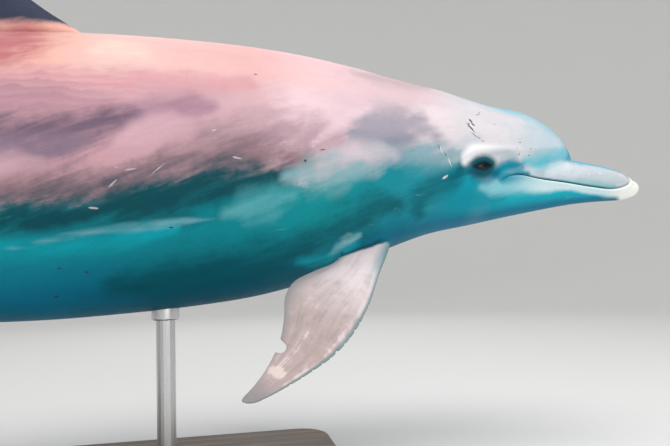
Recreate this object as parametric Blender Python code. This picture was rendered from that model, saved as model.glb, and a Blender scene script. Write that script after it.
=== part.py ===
"""A life-size bottlenose dolphin, held over a flat display base by two rods.

A place on the animal is given by its station, which is its distance back from the tip of
the upper jaw, and by where it lies in the cross-section there. Those lengths are shares of
LENGTH. The body is drawn straight, then every section is set on a gently bent midline.
"""

import math

import bmesh
import bpy
import numpy as np

# Whole animal and stand, in metres and degrees
LENGTH = 2.40
SHOULDER_HEIGHT = 0.530
GAP = 0.0003
NECK_TURN = -3.7
TAIL_TURN = 11.1
SNOUT_DROP = 4.3
TAIL_DROP = -4.1

# Midline and stations of the cuts between the pieces, as shares of LENGTH
BEND_REACH = 0.20
SHOULDER = 0.30
CHIN_TIP = -0.0082
NOSE_END = 0.014
NOSE_ROUNDNESS = 2.4
BEAK_CUT = 0.0515
NECK_CUT = 0.170
CHEST_CUT = 0.335
TAIL_CUT = 0.630
STOCK_END = 0.975
ROD_STATIONS = (0.370, 0.580)

# Outline of the body: height of the back, of the belly, and half the width
BACK = (
    (0.00, 0.0100), (0.02, 0.0155), (0.05, 0.0195), (0.08, 0.0250), (0.11, 0.0360), (0.14, 0.0490),
    (0.17, 0.0620), (0.20, 0.0735), (0.25, 0.0855), (0.30, 0.0930), (0.35, 0.0970), (0.40, 0.0990),
    (0.45, 0.0990), (0.50, 0.0960), (0.55, 0.0905), (0.60, 0.0830), (0.70, 0.0620), (0.80, 0.0430),
    (0.90, 0.0275), (1.00, 0.0075),
)
BELLY = (
    (0.00, -0.0095), (0.02, -0.0115), (0.05, -0.0160), (0.07, -0.0205), (0.10, -0.0280),
    (0.135, -0.0370), (0.17, -0.0455), (0.20, -0.0565), (0.25, -0.0775), (0.30, -0.0905),
    (0.35, -0.0965), (0.40, -0.0990), (0.45, -0.0995), (0.50, -0.0970), (0.55, -0.0915),
    (0.60, -0.0825), (0.70, -0.0580), (0.80, -0.0400), (0.90, -0.0260), (1.00, -0.0075),
)
FLANK = (
    (0.00, 0.0100), (0.02, 0.0145), (0.05, 0.0185), (0.07, 0.0235), (0.10, 0.0335), (0.135, 0.0445),
    (0.17, 0.0525), (0.20, 0.0595), (0.25, 0.0695), (0.30, 0.0775), (0.35, 0.0820), (0.40, 0.0840),
    (0.45, 0.0835), (0.50, 0.0800), (0.55, 0.0730), (0.60, 0.0630), (0.65, 0.0520), (0.70, 0.0410),
    (0.75, 0.0315), (0.80, 0.0235), (0.85, 0.0165), (0.90, 0.0120), (1.00, 0.0060),
)
KEEL_START = 0.60
KEEL_END = 0.85
KEEL_WIDTH = 0.28
KEEL_FLESH = 0.80
KEEL_BLEND = 0.006

# Melon, the round forehead that rises behind the beak
MELON_FRONT = 0.053
MELON_CREST = 0.112
MELON_END = 0.220
MELON_TOP = ((0.05, 0.0500), (0.08, 0.0540), (0.10, 0.0560), (0.135, 0.0580), (0.17, 0.0635), (0.20, 0.0730))
MELON_SIDE = ((0.05, 0.0260), (0.08, 0.0310), (0.112, 0.0380), (0.15, 0.0465), (0.20, 0.0570))
MELON_ROOT_TOP = 0.015
MELON_ROOT_SIDE = 0.010
MELON_UNDERSIDE = -0.012
MELON_ROUNDNESS = 2.2
MELON_FADE_START = 0.160
MELON_FADE = 0.020
MELON_FILLETS = (0.004, 0.024)

# Line of the mouth in side view, from the corner forward and up round the upper jaw's tip
MOUTH = (
    (0.1225, -0.0055), (0.1150, -0.0022), (0.1050, -0.0009), (0.0900, -0.0018), (0.0650, -0.0018),
    (0.0400, -0.0026), (0.0240, -0.0027), (0.0150, -0.0012), (0.0085, 0.0010), (0.0045, 0.0045),
    (0.0025, 0.0120), (0.0025, 0.0300),
)
JAW_HINGE = (0.1330, -0.0600)
AHEAD_OF_JAWS = -0.0300
UPPER_JAW_TOP = 0.0300
LOWER_JAW_BOTTOM = -0.0600
BLOCK_HALF_WIDTH = 0.10

# Eyes: station, height, sizes in metres and how deep the centre sits
EYE_STATION = 0.1415
EYE_HEIGHT = 0.0015
EYE_SIZE = (0.017, 0.010, 0.013)
EYE_DEPTH = 0.0065
EYE_REACH = 0.01
EYE_SEGMENTS = 16
EYE_RINGS = 10

# Flippers, dorsal fin and flukes. Edges are (share of the span, offset as a share of the span)
FLIPPER_SPAN = 0.170
FLIPPER_ROOT = (0.205, 158.0)
FLIPPER_FRONT = (
    (-0.06, 0.030), (0.00, 0.000), (0.20, -0.060), (0.38, -0.113), (0.55, -0.135), (0.66, -0.128),
    (0.76, -0.105), (0.87, -0.073), (0.94, -0.044), (1.00, 0.000),
)
FLIPPER_REAR = (
    (-0.06, 0.100), (0.20, 0.112), (0.29, 0.113), (0.38, 0.145), (0.50, 0.171), (0.57, 0.150),
    (0.64, 0.101), (0.72, 0.056), (0.82, 0.024), (0.92, 0.008), (1.00, 0.004),
)
FLIPPER_THICKNESS = ((-0.06, 0.070), (0.20, 0.060), (0.50, 0.036), (0.80, 0.020), (1.00, 0.009))
NEAR_FLIPPER_AXES = ((-0.662, -0.524, -0.536), (-0.735, 0.318, 0.598))
FAR_FLIPPER_AXES = ((-0.700, 0.680, -0.220), (-0.700, -0.600, 0.380))

BLADE_FULLNESS = 2.6
BLADE_EDGE = 0.10
BLADE_POINTS = 9

FIN_HEIGHT = 0.100
FIN_BASE = 0.0900
FIN_FRONT = (
    (-0.25, 3.66), (0.00, 3.93), (0.12, 4.18), (0.22, 4.35), (0.40, 4.59), (0.65, 4.84), (0.85, 5.12),
    (1.00, 5.46),
)
FIN_REAR = (
    (-0.25, 6.00), (0.00, 5.86), (0.10, 5.70), (0.30, 5.52), (0.55, 5.44), (0.80, 5.46), (1.00, 5.54),
)
FIN_THICKNESS = ((-0.25, 0.280), (0.10, 0.180), (0.50, 0.110), (1.00, 0.030))

FLUKE_SPAN = 0.1225
FLUKE_FRONT = (
    (0.00, 7.48), (0.15, 7.60), (0.40, 7.76), (0.65, 7.93), (0.85, 8.11), (0.95, 8.23), (1.00, 8.32),
)
FLUKE_REAR = (
    (0.00, 8.10), (0.08, 8.19), (0.25, 8.26), (0.50, 8.24), (0.75, 8.25), (0.90, 8.30), (1.00, 8.36),
)
FLUKE_THICKNESS = ((0.00, 0.170), (0.30, 0.110), (0.70, 0.055), (1.00, 0.020))

# Stand, in metres
BASE_SIZE = (1.10, 0.45, 0.030)
BASE_CORNER = 0.060
BASE_EDGE = 0.004
ROD_RADIUS = 0.016
FOOT_RADIUS = 0.045
FOOT_SHOULDER = 0.03825
FOOT_RIM = 0.0084
FOOT_TOP = 0.014
FOOT_COLLAR = 0.0168

# Fineness of the meshes, and the sections of each length of the body
AROUND = 32
ROD_SIDES = 18
NOSE_RINGS = 6
NOSE_START = 0.25
BEAK_START = 0.022
BEAK_END = 0.0515
BEAK_RINGS = 4
MELON_RINGS = 11
MELON_START = 0.04
CROWN_START = 0.122
CROWN_RINGS = 5
FINE_ANGLES = 181
FLIPPER_CUTS = (*np.linspace(-0.06, 0.90, 12), 0.95, 0.985, 1.0)
FIN_CUTS = (*np.linspace(-0.20, 0.85, 11), 0.93, 0.98, 1.0)
FLUKE_CUTS = (*np.linspace(0.0, 0.90, 9), 0.955, 0.985, 1.0)
MIDLINE_STEPS = 1200
HALF_GAP = GAP / 2 / LENGTH
CHEST_STATIONS = np.linspace(NECK_CUT + HALF_GAP, CHEST_CUT - HALF_GAP, 12)
TRUNK_STATIONS = np.linspace(CHEST_CUT + HALF_GAP, TAIL_CUT - HALF_GAP, 17)
STOCK_STATIONS = np.linspace(TAIL_CUT + HALF_GAP, STOCK_END, 19)


def smooth_curve(keys, at):
    """A smooth curve through the keys, read at one or more places."""
    places, values = np.asarray(keys, float).T
    order = np.argsort(places)
    places = places[order]
    values = values[order]
    slopes = np.gradient(values, places)
    at = np.clip(np.asarray(at, float), places[0], places[-1])
    left = np.clip(np.searchsorted(places, at, side="right") - 1, 0, len(places) - 2)
    step = places[left + 1] - places[left]
    t = (at - places[left]) / step
    rise = t * t * (3 - 2 * t)
    start_pull = t * (1 - t) ** 2 * step * slopes[left]
    end_pull = t * t * (t - 1) * step * slopes[left + 1]
    return values[left] * (1 - rise) + values[left + 1] * rise + start_pull + end_pull


def ease(at, start, end):
    """0 before start, 1 after end, and an eased rise between them."""
    t = np.clip((np.asarray(at, float) - start) / (end - start), 0, 1)
    return t * t * (3 - 2 * t)


def quarter_round(at, start, end, power):
    """The rise of a rounded nose, 0 at start and 1 from end on."""
    t = np.clip((end - np.asarray(at, float)) / (end - start), 0, 1)
    return np.maximum(1 - t**power, 1e-6) ** 0.5


def reach(centre, top, bottom, half_width, angle):
    """Distance from centre out to an ellipse, the angle being 0 straight up."""
    middle = (top + bottom) / 2
    half_height = (top - bottom) / 2
    shift = centre - middle
    a = (np.sin(angle) / half_width) ** 2 + (np.cos(angle) / half_height) ** 2
    b = shift * np.cos(angle) / half_height**2
    c = (shift / half_height) ** 2 - 1
    return (np.sqrt(np.maximum(b * b - a * c, 0)) - b) / a


def join(first, second, width):
    """The larger of two reaches, with a fillet where they cross."""
    near = np.maximum(1 - np.abs(first - second) / width, 0)
    return np.maximum(first, second) + near * near * width / 4


def section(station, angle):
    """Side offset and height of the skin at a station, the angle being 0 at the back."""
    nose = quarter_round(station, CHIN_TIP, NOSE_END, NOSE_ROUNDNESS)
    top = smooth_curve(BACK, station) * nose
    bottom = smooth_curve(BELLY, station) * nose
    side = smooth_curve(FLANK, station) * nose
    centre = (top + bottom) / 2 * ease(station, 0.12, 0.24)

    slimming = ease(station, KEEL_START, KEEL_END)
    flesh = 1 - (1 - KEEL_FLESH) * slimming
    body = reach(centre, top * flesh, bottom * flesh, side, angle)
    keel = reach(centre, top, bottom, side * (1 - (1 - KEEL_WIDTH) * slimming), angle)
    radius = np.where(station > KEEL_START, join(body, keel, KEEL_BLEND), body)

    rise = quarter_round(station, MELON_FRONT, MELON_CREST, MELON_ROUNDNESS)
    melon_top = MELON_ROOT_TOP + (smooth_curve(MELON_TOP, station) - MELON_ROOT_TOP) * rise
    melon_side = MELON_ROOT_SIDE + (smooth_curve(MELON_SIDE, station) - MELON_ROOT_SIDE) * rise
    melon = reach(centre, melon_top, MELON_UNDERSIDE, melon_side, angle)
    melon = melon - MELON_FADE * ease(station, MELON_FADE_START, MELON_END)
    fillet = MELON_FILLETS[0] + (MELON_FILLETS[1] - MELON_FILLETS[0]) * ease(station, 0.06, 0.14)
    with_melon = (station > MELON_FRONT) & (station < MELON_END)
    radius = np.where(with_melon, join(radius, melon, fillet), radius)
    return radius * np.sin(angle), centre + radius * np.cos(angle)


def midline():
    """Stations along the midline with their places, headings and slopes."""
    stations = np.linspace(2 * CHIN_TIP, 1.05, MIDLINE_STEPS)
    ahead = np.clip((SHOULDER - stations) / BEND_REACH, 0, 1)
    behind = np.clip((stations - SHOULDER) / SHOULDER, 0, 1.5)
    heading = np.radians(NECK_TURN * ahead + TAIL_TURN * behind)
    slope = np.radians(SNOUT_DROP * ahead + TAIL_DROP * behind)
    course = np.stack(
        [-np.cos(heading) * np.cos(slope), -np.sin(heading) * np.cos(slope), np.sin(slope)], axis=1
    )
    step = stations[1] - stations[0]
    places = np.concatenate([np.zeros((1, 3)), np.cumsum((course[1:] + course[:-1]) / 2 * step, axis=0)])
    shoulder = [np.interp(SHOULDER, stations, places[:, axis]) for axis in range(3)]
    return stations, places - shoulder, heading, slope


STATIONS, PLACES, HEADINGS, SLOPES = midline()


def place(station, side, height):
    """Points of the bent animal, in shares of LENGTH from the shoulder. Side is + to its left."""
    station = np.asarray(station, float)
    heading = np.interp(station, STATIONS, HEADINGS)
    slope = np.interp(station, STATIONS, SLOPES)
    centre = np.stack([np.interp(station, STATIONS, PLACES[:, axis]) for axis in range(3)], axis=-1)
    left = np.stack([-np.sin(heading), np.cos(heading), np.zeros_like(heading)], axis=-1)
    up = np.stack([np.cos(heading) * np.sin(slope), np.sin(heading) * np.sin(slope), np.cos(slope)], axis=-1)
    return centre + left * np.asarray(side)[..., None] + up * np.asarray(height)[..., None]


ROD_PLACES = [place(station, 0.0, 0.0) * LENGTH for station in ROD_STATIONS]
STAND_CENTRE = (ROD_PLACES[0] + ROD_PLACES[1]) / 2


def in_row(points):
    """Points in metres, with the origin under the middle of the stand's base."""
    return np.asarray(points) * LENGTH + (-STAND_CENTRE[0], -STAND_CENTRE[1], SHOULDER_HEIGHT)


def material(name, colour, roughness, metallic=0.0):
    made = bpy.data.materials.new(name)
    made.use_nodes = True
    shader = made.node_tree.nodes["Principled BSDF"]
    shader.inputs["Base Color"].default_value = (*colour, 1)
    shader.inputs["Roughness"].default_value = roughness
    shader.inputs["Metallic"].default_value = metallic
    return made


def add_object(name, mesh_data, finish):
    """An object made from a bmesh, with its normals pointing out."""
    bmesh.ops.recalc_face_normals(mesh_data, faces=mesh_data.faces)
    mesh = bpy.data.meshes.new(name)
    mesh_data.to_mesh(mesh)
    mesh_data.free()
    mesh.materials.append(finish)
    mesh.shade_smooth()
    made = bpy.data.objects.new(name, mesh)
    bpy.context.collection.objects.link(made)
    return made


def loft(rings, nose=None):
    """A closed bmesh through rings of points, ending in a point at nose if that is given."""
    made = bmesh.new()
    loops = [[made.verts.new(point) for point in ring] for ring in rings]
    count = len(loops[0])
    for ahead, behind in zip(loops, loops[1:]):
        for i in range(count):
            j = (i + 1) % count
            made.faces.new((ahead[i], ahead[j], behind[j]))
            made.faces.new((ahead[i], behind[j], behind[i]))
    if nose is None:
        made.faces.new(loops[0])
    else:
        tip = made.verts.new(nose)
        for i in range(count):
            made.faces.new((tip, loops[0][i], loops[0][(i + 1) % count]))
    made.faces.new(loops[-1])
    return made


def body_rings(stations, grow=0.0):
    """Rings round the body at the stations, moved out by grow along their own normals."""
    angles = np.arange(AROUND) * 2 * math.pi / AROUND
    rings = []
    for station in stations:
        side, height = section(station, angles)
        run = np.roll(side, -1) - np.roll(side, 1)
        rise = np.roll(height, -1) - np.roll(height, 1)
        push = grow / LENGTH / np.hypot(run, rise)
        rings.append(in_row(place(np.full(AROUND, station), side - rise * push, height + run * push)))
    return rings


def body_length(name, stations, finish, nose=None, grow=0.0):
    """One length of the body, a closed loft through its stations."""
    return add_object(name, loft(body_rings(stations, grow), nose), finish)


def boolean(target, cutter, operation):
    """Cuts the target's mesh for good and removes the cutter."""
    modifier = target.modifiers.new(operation.title(), "BOOLEAN")
    modifier.operation = operation
    modifier.solver = "EXACT"
    modifier.object = cutter
    graph = bpy.context.evaluated_depsgraph_get()
    mesh = bpy.data.meshes.new_from_object(target.evaluated_get(graph))
    target.modifiers.remove(modifier)
    old = target.data
    target.data = mesh
    bpy.data.meshes.remove(old)
    bpy.data.objects.remove(cutter)


def inset_outline(outline, distance):
    """The outline moved inwards, its points running with the inside on their left."""
    points = np.asarray(outline, float)
    along = np.roll(points, -1, axis=0) - points
    along /= np.linalg.norm(along, axis=1)[:, None]
    normals = np.stack([-along[:, 1], along[:, 0]], axis=1)
    before = np.roll(normals, 1, axis=0)
    shift = (normals + before) / (1 + np.sum(normals * before, axis=1))[:, None]
    return points + shift * distance / LENGTH


def side_block(name, outline, inset, finish):
    """A block right across the head whose side view is the outline."""
    points = inset_outline(outline, inset)
    rings = []
    for side in (-BLOCK_HALF_WIDTH, BLOCK_HALF_WIDTH):
        rings.append(in_row(place(points[:, 0], np.full(len(points), side), points[:, 1])))
    return add_object(name, loft(rings), finish)


def mouth_line():
    """The mouth's line in side view, from the corner to above the jaw's tip."""
    stations, heights = np.asarray(MOUTH).T
    knots = np.linspace(0, 1, len(MOUTH))
    steps = np.linspace(0, 1, 2 * len(MOUTH) - 1)
    return list(
        zip(
            smooth_curve(list(zip(knots, stations)), steps),
            smooth_curve(list(zip(knots, heights)), steps),
        )
    )


def crowded(start, end, first, count):
    """Stations from start to end that crowd together towards the start."""
    return start + (end - start) * (1 - np.cos(np.linspace(first, math.pi / 2, count)))


def make_head(skin):
    """The head, its two jaws and the eyes in their sockets."""
    nose = crowded(CHIN_TIP, NOSE_END, NOSE_START, NOSE_RINGS)
    beak = np.linspace(BEAK_START, BEAK_END, BEAK_RINGS)
    rise = crowded(MELON_FRONT, MELON_CREST, MELON_START, MELON_RINGS)
    crown = np.linspace(CROWN_START, NECK_CUT - HALF_GAP, CROWN_RINGS)
    stations = np.concatenate([nose, beak, rise, crown])
    tip = in_row(place(CHIN_TIP, 0.0, 0.0))
    line = mouth_line()
    lower = line + [(AHEAD_OF_JAWS, UPPER_JAW_TOP), (AHEAD_OF_JAWS, LOWER_JAW_BOTTOM), JAW_HINGE]
    corner_height = np.interp(-BEAK_CUT, [-point[0] for point in line], [point[1] for point in line])
    upper = [point for point in line[::-1] if point[0] < BEAK_CUT]
    upper += [(BEAK_CUT, corner_height), (BEAK_CUT, UPPER_JAW_TOP)]

    pieces = {}
    for name in ("head", "upper_jaw", "lower_jaw"):
        pieces[name] = body_length(name, stations, skin, nose=tip)
    boolean(pieces["lower_jaw"], side_block("block", lower, GAP / 2, skin), "INTERSECT")
    boolean(pieces["upper_jaw"], side_block("block", upper, GAP / 2, skin), "INTERSECT")
    boolean(pieces["head"], side_block("block", lower, -GAP / 2, skin), "DIFFERENCE")
    boolean(pieces["head"], side_block("block", upper, -GAP / 2, skin), "DIFFERENCE")

    eye = material("eye", (0.015, 0.018, 0.020), 0.08)
    for name, left in (("eye_right", -1), ("eye_left", 1)):
        boolean(pieces["head"], eye_ball("socket", left, GAP, eye), "DIFFERENCE")
        eye_ball(name, left, 0.0, eye)


def eye_ball(name, left, grow, finish):
    """An eye, flattened outwards and turned to lie in the side of the head."""
    angles = np.linspace(0, math.pi, FINE_ANGLES)
    sides, heights = section(np.full(FINE_ANGLES, EYE_STATION), angles)
    side = np.interp(-EYE_HEIGHT, -heights, sides)
    centre = in_row(place(EYE_STATION, left * (side - EYE_DEPTH / LENGTH), EYE_HEIGHT))
    heading = np.interp(EYE_STATION, STATIONS, HEADINGS)
    ahead = smooth_curve(FLANK, EYE_STATION - EYE_REACH)
    behind = smooth_curve(FLANK, EYE_STATION + EYE_REACH)
    turn = heading + left * math.atan((behind - ahead) / (2 * EYE_REACH))
    made = bmesh.new()
    bmesh.ops.create_uvsphere(made, u_segments=EYE_SEGMENTS, v_segments=EYE_RINGS, radius=1.0)
    for vert in made.verts:
        x, y, z = (c * (size + grow) for c, size in zip(vert.co, EYE_SIZE))
        vert.co = (
            centre[0] + x * math.cos(turn) - y * math.sin(turn),
            centre[1] + x * math.sin(turn) + y * math.cos(turn),
            centre[2] + z,
        )
    return add_object(name, made, finish)


def blade_section(front, rear, thickness):
    """Chord offsets and half thicknesses round a fin, blunt in front and fine behind."""
    t = (1 - np.cos(np.linspace(0, math.pi, BLADE_POINTS))) / 2
    half = BLADE_FULLNESS * np.sqrt(t) * (1 - t) + BLADE_EDGE * (t > 0)
    half = half * thickness / 2
    chord = front + (rear - front) * t
    chords = np.concatenate([chord, chord[-1:0:-1]])
    halves = np.concatenate([half, -half[-1:0:-1]])
    return chords, halves


def blade_rings(span, front, rear, thickness, cuts):
    """Rings of (span, chord, half thickness) for a fin of the given edges."""
    for cut in cuts:
        chords, halves = blade_section(
            smooth_curve(front, cut), smooth_curve(rear, cut), smooth_curve(thickness, cut)
        )
        yield span * cut, span * chords, span * halves


def make_flipper(name, left, axes, skin):
    """A flipper, a swept blade that leaves the lower side of the chest."""
    along, back = (np.array(axis) / np.linalg.norm(axis) for axis in axes)
    back = back - along * np.dot(along, back)
    back /= np.linalg.norm(back)
    across = np.cross(along, back)
    station, angle = FLIPPER_ROOT
    side, height = section(station, math.radians(angle))
    root = place(station, left * side, height)
    blade = blade_rings(FLIPPER_SPAN, FLIPPER_FRONT, FLIPPER_REAR, FLIPPER_THICKNESS, FLIPPER_CUTS)
    rings = []
    for out, chords, halves in blade:
        rings.append(in_row(root + along * out + chords[:, None] * back + halves[:, None] * across))
    made = add_object(name, loft(rings), skin)
    boolean(made, body_length("cutter", CHEST_STATIONS, skin, grow=GAP), "DIFFERENCE")


def make_dorsal_fin(skin):
    """The dorsal fin, raised from the middle of the back."""
    rings = []
    for up, chords, halves in blade_rings(FIN_HEIGHT, FIN_FRONT, FIN_REAR, FIN_THICKNESS, FIN_CUTS):
        rings.append(in_row(place(chords, halves, np.full(len(chords), FIN_BASE + up))))
    made = add_object("dorsal_fin", loft(rings), skin)
    boolean(made, body_length("cutter", TRUNK_STATIONS, skin, grow=GAP), "DIFFERENCE")


def make_flukes(skin):
    """The two flukes, which meet at the notch behind the tail stock."""
    for name, left in (("fluke_right", -1), ("fluke_left", 1)):
        rings = []
        blade = blade_rings(FLUKE_SPAN, FLUKE_FRONT, FLUKE_REAR, FLUKE_THICKNESS, FLUKE_CUTS)
        for out, chords, halves in blade:
            side = np.full(len(chords), left * (out + HALF_GAP))
            rings.append(in_row(place(chords, side, halves)))
        made = add_object(name, loft(rings), skin)
        boolean(made, body_length("cutter", STOCK_STATIONS, skin, grow=GAP), "DIFFERENCE")


def make_base(finish):
    """The flat base, with round corners and softened edges."""
    made = bmesh.new()
    bmesh.ops.create_cube(made, size=1.0)
    for vert in made.verts:
        vert.co = [c * size for c, size in zip(vert.co, BASE_SIZE)]
        vert.co.z += BASE_SIZE[2] / 2
    uprights = [edge for edge in made.edges if abs(edge.verts[0].co.z - edge.verts[1].co.z) > GAP]
    bmesh.ops.bevel(made, geom=uprights, offset=BASE_CORNER, segments=5, affect="EDGES", profile=0.5)
    rims = [edge for edge in made.edges if min(v.co.z for v in edge.verts) > BASE_SIZE[2] - GAP]
    bmesh.ops.bevel(made, geom=rims, offset=BASE_EDGE, segments=2, affect="EDGES", profile=0.5)
    add_object("stand_base", made, finish).data.set_sharp_from_angle(angle=math.radians(30))


def make_rod(name, centre, finish):
    """A rod on a round foot, cut to the curve of the belly that it carries."""
    floor = BASE_SIZE[2] + GAP
    x, y = centre[:2] - STAND_CENTRE[:2]
    profile = (
        (FOOT_RADIUS, floor),
        (FOOT_RADIUS, floor + FOOT_RIM),
        (FOOT_SHOULDER, floor + FOOT_TOP),
        (ROD_RADIUS, floor + FOOT_COLLAR),
        (ROD_RADIUS, SHOULDER_HEIGHT),
    )
    angles = np.arange(ROD_SIDES) * 2 * math.pi / ROD_SIDES
    rings = [
        [(x + radius * math.cos(a), y + radius * math.sin(a), height) for a in angles]
        for radius, height in profile
    ]
    made = add_object(name, loft(rings), finish)
    made.data.set_sharp_from_angle(angle=math.radians(30))
    boolean(made, body_length("cutter", TRUNK_STATIONS, finish, grow=GAP), "DIFFERENCE")


def main():
    for old in list(bpy.data.objects):
        bpy.data.objects.remove(old)
    skin = material("skin", (0.55, 0.44, 0.45), 0.45)
    fin_skin = material("fin_skin", (0.30, 0.27, 0.30), 0.45)
    steel = material("steel", (0.62, 0.62, 0.63), 0.28, 1.0)
    base = material("base", (0.06, 0.06, 0.065), 0.40)
    make_head(skin)
    body_length("chest", CHEST_STATIONS, skin)
    body_length("trunk", TRUNK_STATIONS, skin)
    body_length("tail_stock", STOCK_STATIONS, skin)
    make_flipper("flipper_right", -1, NEAR_FLIPPER_AXES, skin)
    make_flipper("flipper_left", 1, FAR_FLIPPER_AXES, skin)
    make_dorsal_fin(fin_skin)
    make_flukes(fin_skin)
    make_base(base)
    make_rod("stand_rod_front", ROD_PLACES[0], steel)
    make_rod("stand_rod_rear", ROD_PLACES[1], steel)


main()
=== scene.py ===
# Finish of the life-size bottlenose dolphin: one skin, two eyes and the display stand
import math
from types import SimpleNamespace

import bmesh
import bpy
import numpy as np
from mathutils import Matrix, Vector, kdtree


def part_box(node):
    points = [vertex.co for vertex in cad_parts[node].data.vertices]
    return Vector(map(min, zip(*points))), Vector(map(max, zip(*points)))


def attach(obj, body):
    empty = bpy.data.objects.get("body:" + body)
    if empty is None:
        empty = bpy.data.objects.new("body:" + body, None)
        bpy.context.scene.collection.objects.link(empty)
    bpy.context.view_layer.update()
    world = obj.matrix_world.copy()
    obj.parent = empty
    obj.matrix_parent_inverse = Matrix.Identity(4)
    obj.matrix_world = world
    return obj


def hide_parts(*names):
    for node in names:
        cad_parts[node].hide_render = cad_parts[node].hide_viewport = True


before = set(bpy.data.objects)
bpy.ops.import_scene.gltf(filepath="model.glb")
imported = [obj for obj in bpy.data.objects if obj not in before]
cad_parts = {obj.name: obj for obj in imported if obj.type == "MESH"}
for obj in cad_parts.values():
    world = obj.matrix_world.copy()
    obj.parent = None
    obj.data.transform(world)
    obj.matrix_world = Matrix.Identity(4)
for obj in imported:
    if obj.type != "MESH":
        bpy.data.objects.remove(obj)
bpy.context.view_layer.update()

# Lengths on the animal are shares of its length, from the tip of the upper jaw, unless a note says metres
animal = dict(
    length=2.40,  # metres
    shoulderHeight=0.530,  # metres above the floor
    shoulder=0.30,
    bendReach=0.20,
    neckTurn=-3.7,  # degrees
    tailTurn=11.1,
    snoutDrop=4.3,
    tailDrop=-4.1,
    chinTip=-0.0082,
    noseEnd=0.014,
    noseRoundness=2.4,
    tailEnd=0.984,
    tailRound=0.012,
    centred=(0.12, 0.24),
    midlineSteps=1200,
    midlineEnd=1.05,
    tailBendEnd=1.5,
    rods=(0.370, 0.580),
    back=(
        (0.00, 0.0100), (0.02, 0.0155), (0.05, 0.0195), (0.08, 0.0250), (0.11, 0.0360), (0.14, 0.0490),
        (0.17, 0.0620), (0.20, 0.0735), (0.25, 0.0855), (0.30, 0.0930), (0.35, 0.0970), (0.40, 0.0990),
        (0.45, 0.0990), (0.50, 0.0960), (0.55, 0.0905), (0.60, 0.0830), (0.70, 0.0620), (0.80, 0.0430),
        (0.90, 0.0275), (1.00, 0.0075),
    ),
    belly=(
        (0.00, -0.0095), (0.02, -0.0115), (0.05, -0.0160), (0.07, -0.0205), (0.10, -0.0280),
        (0.135, -0.0370), (0.17, -0.0455), (0.20, -0.0565), (0.25, -0.0775), (0.30, -0.0905),
        (0.35, -0.0965), (0.40, -0.0990), (0.45, -0.0995), (0.50, -0.0970), (0.55, -0.0915),
        (0.60, -0.0825), (0.70, -0.0580), (0.80, -0.0400), (0.90, -0.0260), (1.00, -0.0075),
    ),
    flank=(
        (0.00, 0.0100), (0.02, 0.0145), (0.05, 0.0185), (0.07, 0.0235), (0.10, 0.0335), (0.135, 0.0445),
        (0.17, 0.0525), (0.20, 0.0595), (0.25, 0.0695), (0.30, 0.0775), (0.35, 0.0820), (0.40, 0.0840),
        (0.45, 0.0835), (0.50, 0.0800), (0.55, 0.0730), (0.60, 0.0630), (0.65, 0.0520), (0.70, 0.0410),
        (0.75, 0.0315), (0.80, 0.0235), (0.85, 0.0165), (0.90, 0.0120), (1.00, 0.0060),
    ),
    keelStart=0.60,
    keelEnd=0.85,
    keelWidth=0.28,
    keelFlesh=0.80,
    keelBlend=0.006,
)

melon = dict(
    front=0.053,
    crest=0.112,
    end=0.220,
    top=((0.05, 0.0500), (0.08, 0.0540), (0.10, 0.0560), (0.135, 0.0580), (0.17, 0.0635), (0.20, 0.0730)),
    side=((0.05, 0.0260), (0.08, 0.0310), (0.112, 0.0380), (0.15, 0.0465), (0.20, 0.0570)),
    rootTop=0.015,
    rootSide=0.010,
    underside=-0.012,
    roundness=2.2,
    sink=0.02,
    sinkStart=0.16,
    fillet=(0.004, 0.020),
    filletGrowth=(0.06, 0.14),
)


def smoothCurve(keys, at):
    # a smooth curve through the keys, read at one or more places
    places, values = np.asarray(keys, float).T
    order = np.argsort(places)
    places = places[order]
    values = values[order]
    slopes = np.gradient(values, places)
    at = np.clip(np.asarray(at, float), places[0], places[-1])
    left = np.clip(np.searchsorted(places, at, side="right") - 1, 0, len(places) - 2)
    step = places[left + 1] - places[left]
    t = (at - places[left]) / step
    rise = t * t * (3 - 2 * t)
    startPull = t * (1 - t) ** 2 * step * slopes[left]
    endPull = t * t * (t - 1) * step * slopes[left + 1]
    return values[left] * (1 - rise) + values[left + 1] * rise + startPull + endPull


def ease(at, start, end):
    # 0 before start and 1 after end
    t = np.clip((np.asarray(at, float) - start) / (end - start), 0, 1)
    return t * t * (3 - 2 * t)


def partly(at, ends, least):
    # least at the first end and 1 at the second
    return least + (1 - least) * ease(at, *ends)


def between(at, rising, falling):
    # 1 between two slopes, each given as (where it is 0, where it is 1)
    return ease(at, *rising) * ease(at, *falling)


def bell(gap, width):
    # 1 at no gap, falling away over the width
    return np.exp(-((gap / width) ** 2))


def quarterRound(at, start, end, power):
    # 1 at the end, falling away ever more steeply to almost 0 at the start
    t = np.clip((end - np.asarray(at, float)) / (end - start), 0, 1)
    return np.maximum(1 - t**power, 1e-9) ** 0.5


def ellipseReach(centre, top, bottom, halfWidth, angle):
    # distance from the centre out to an ellipse, the angle being 0 straight up
    shift = centre - (top + bottom) / 2
    halfHeight = (top - bottom) / 2
    a = (np.sin(angle) / halfWidth) ** 2 + (np.cos(angle) / halfHeight) ** 2
    b = shift * np.cos(angle) / halfHeight**2
    c = (shift / halfHeight) ** 2 - 1
    return (np.sqrt(np.maximum(b * b - a * c, 0)) - b) / a


def joined(first, second, width):
    # the larger of two radii, filleted where they meet
    near = np.maximum(1 - np.abs(first - second) / width, 0)
    return np.maximum(first, second) + near * near * width / 4


def midHeight(station, top, bottom):
    # height of the body's middle, which is the midline itself on the head
    return (top + bottom) / 2 * ease(station, *animal["centred"])


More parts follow.
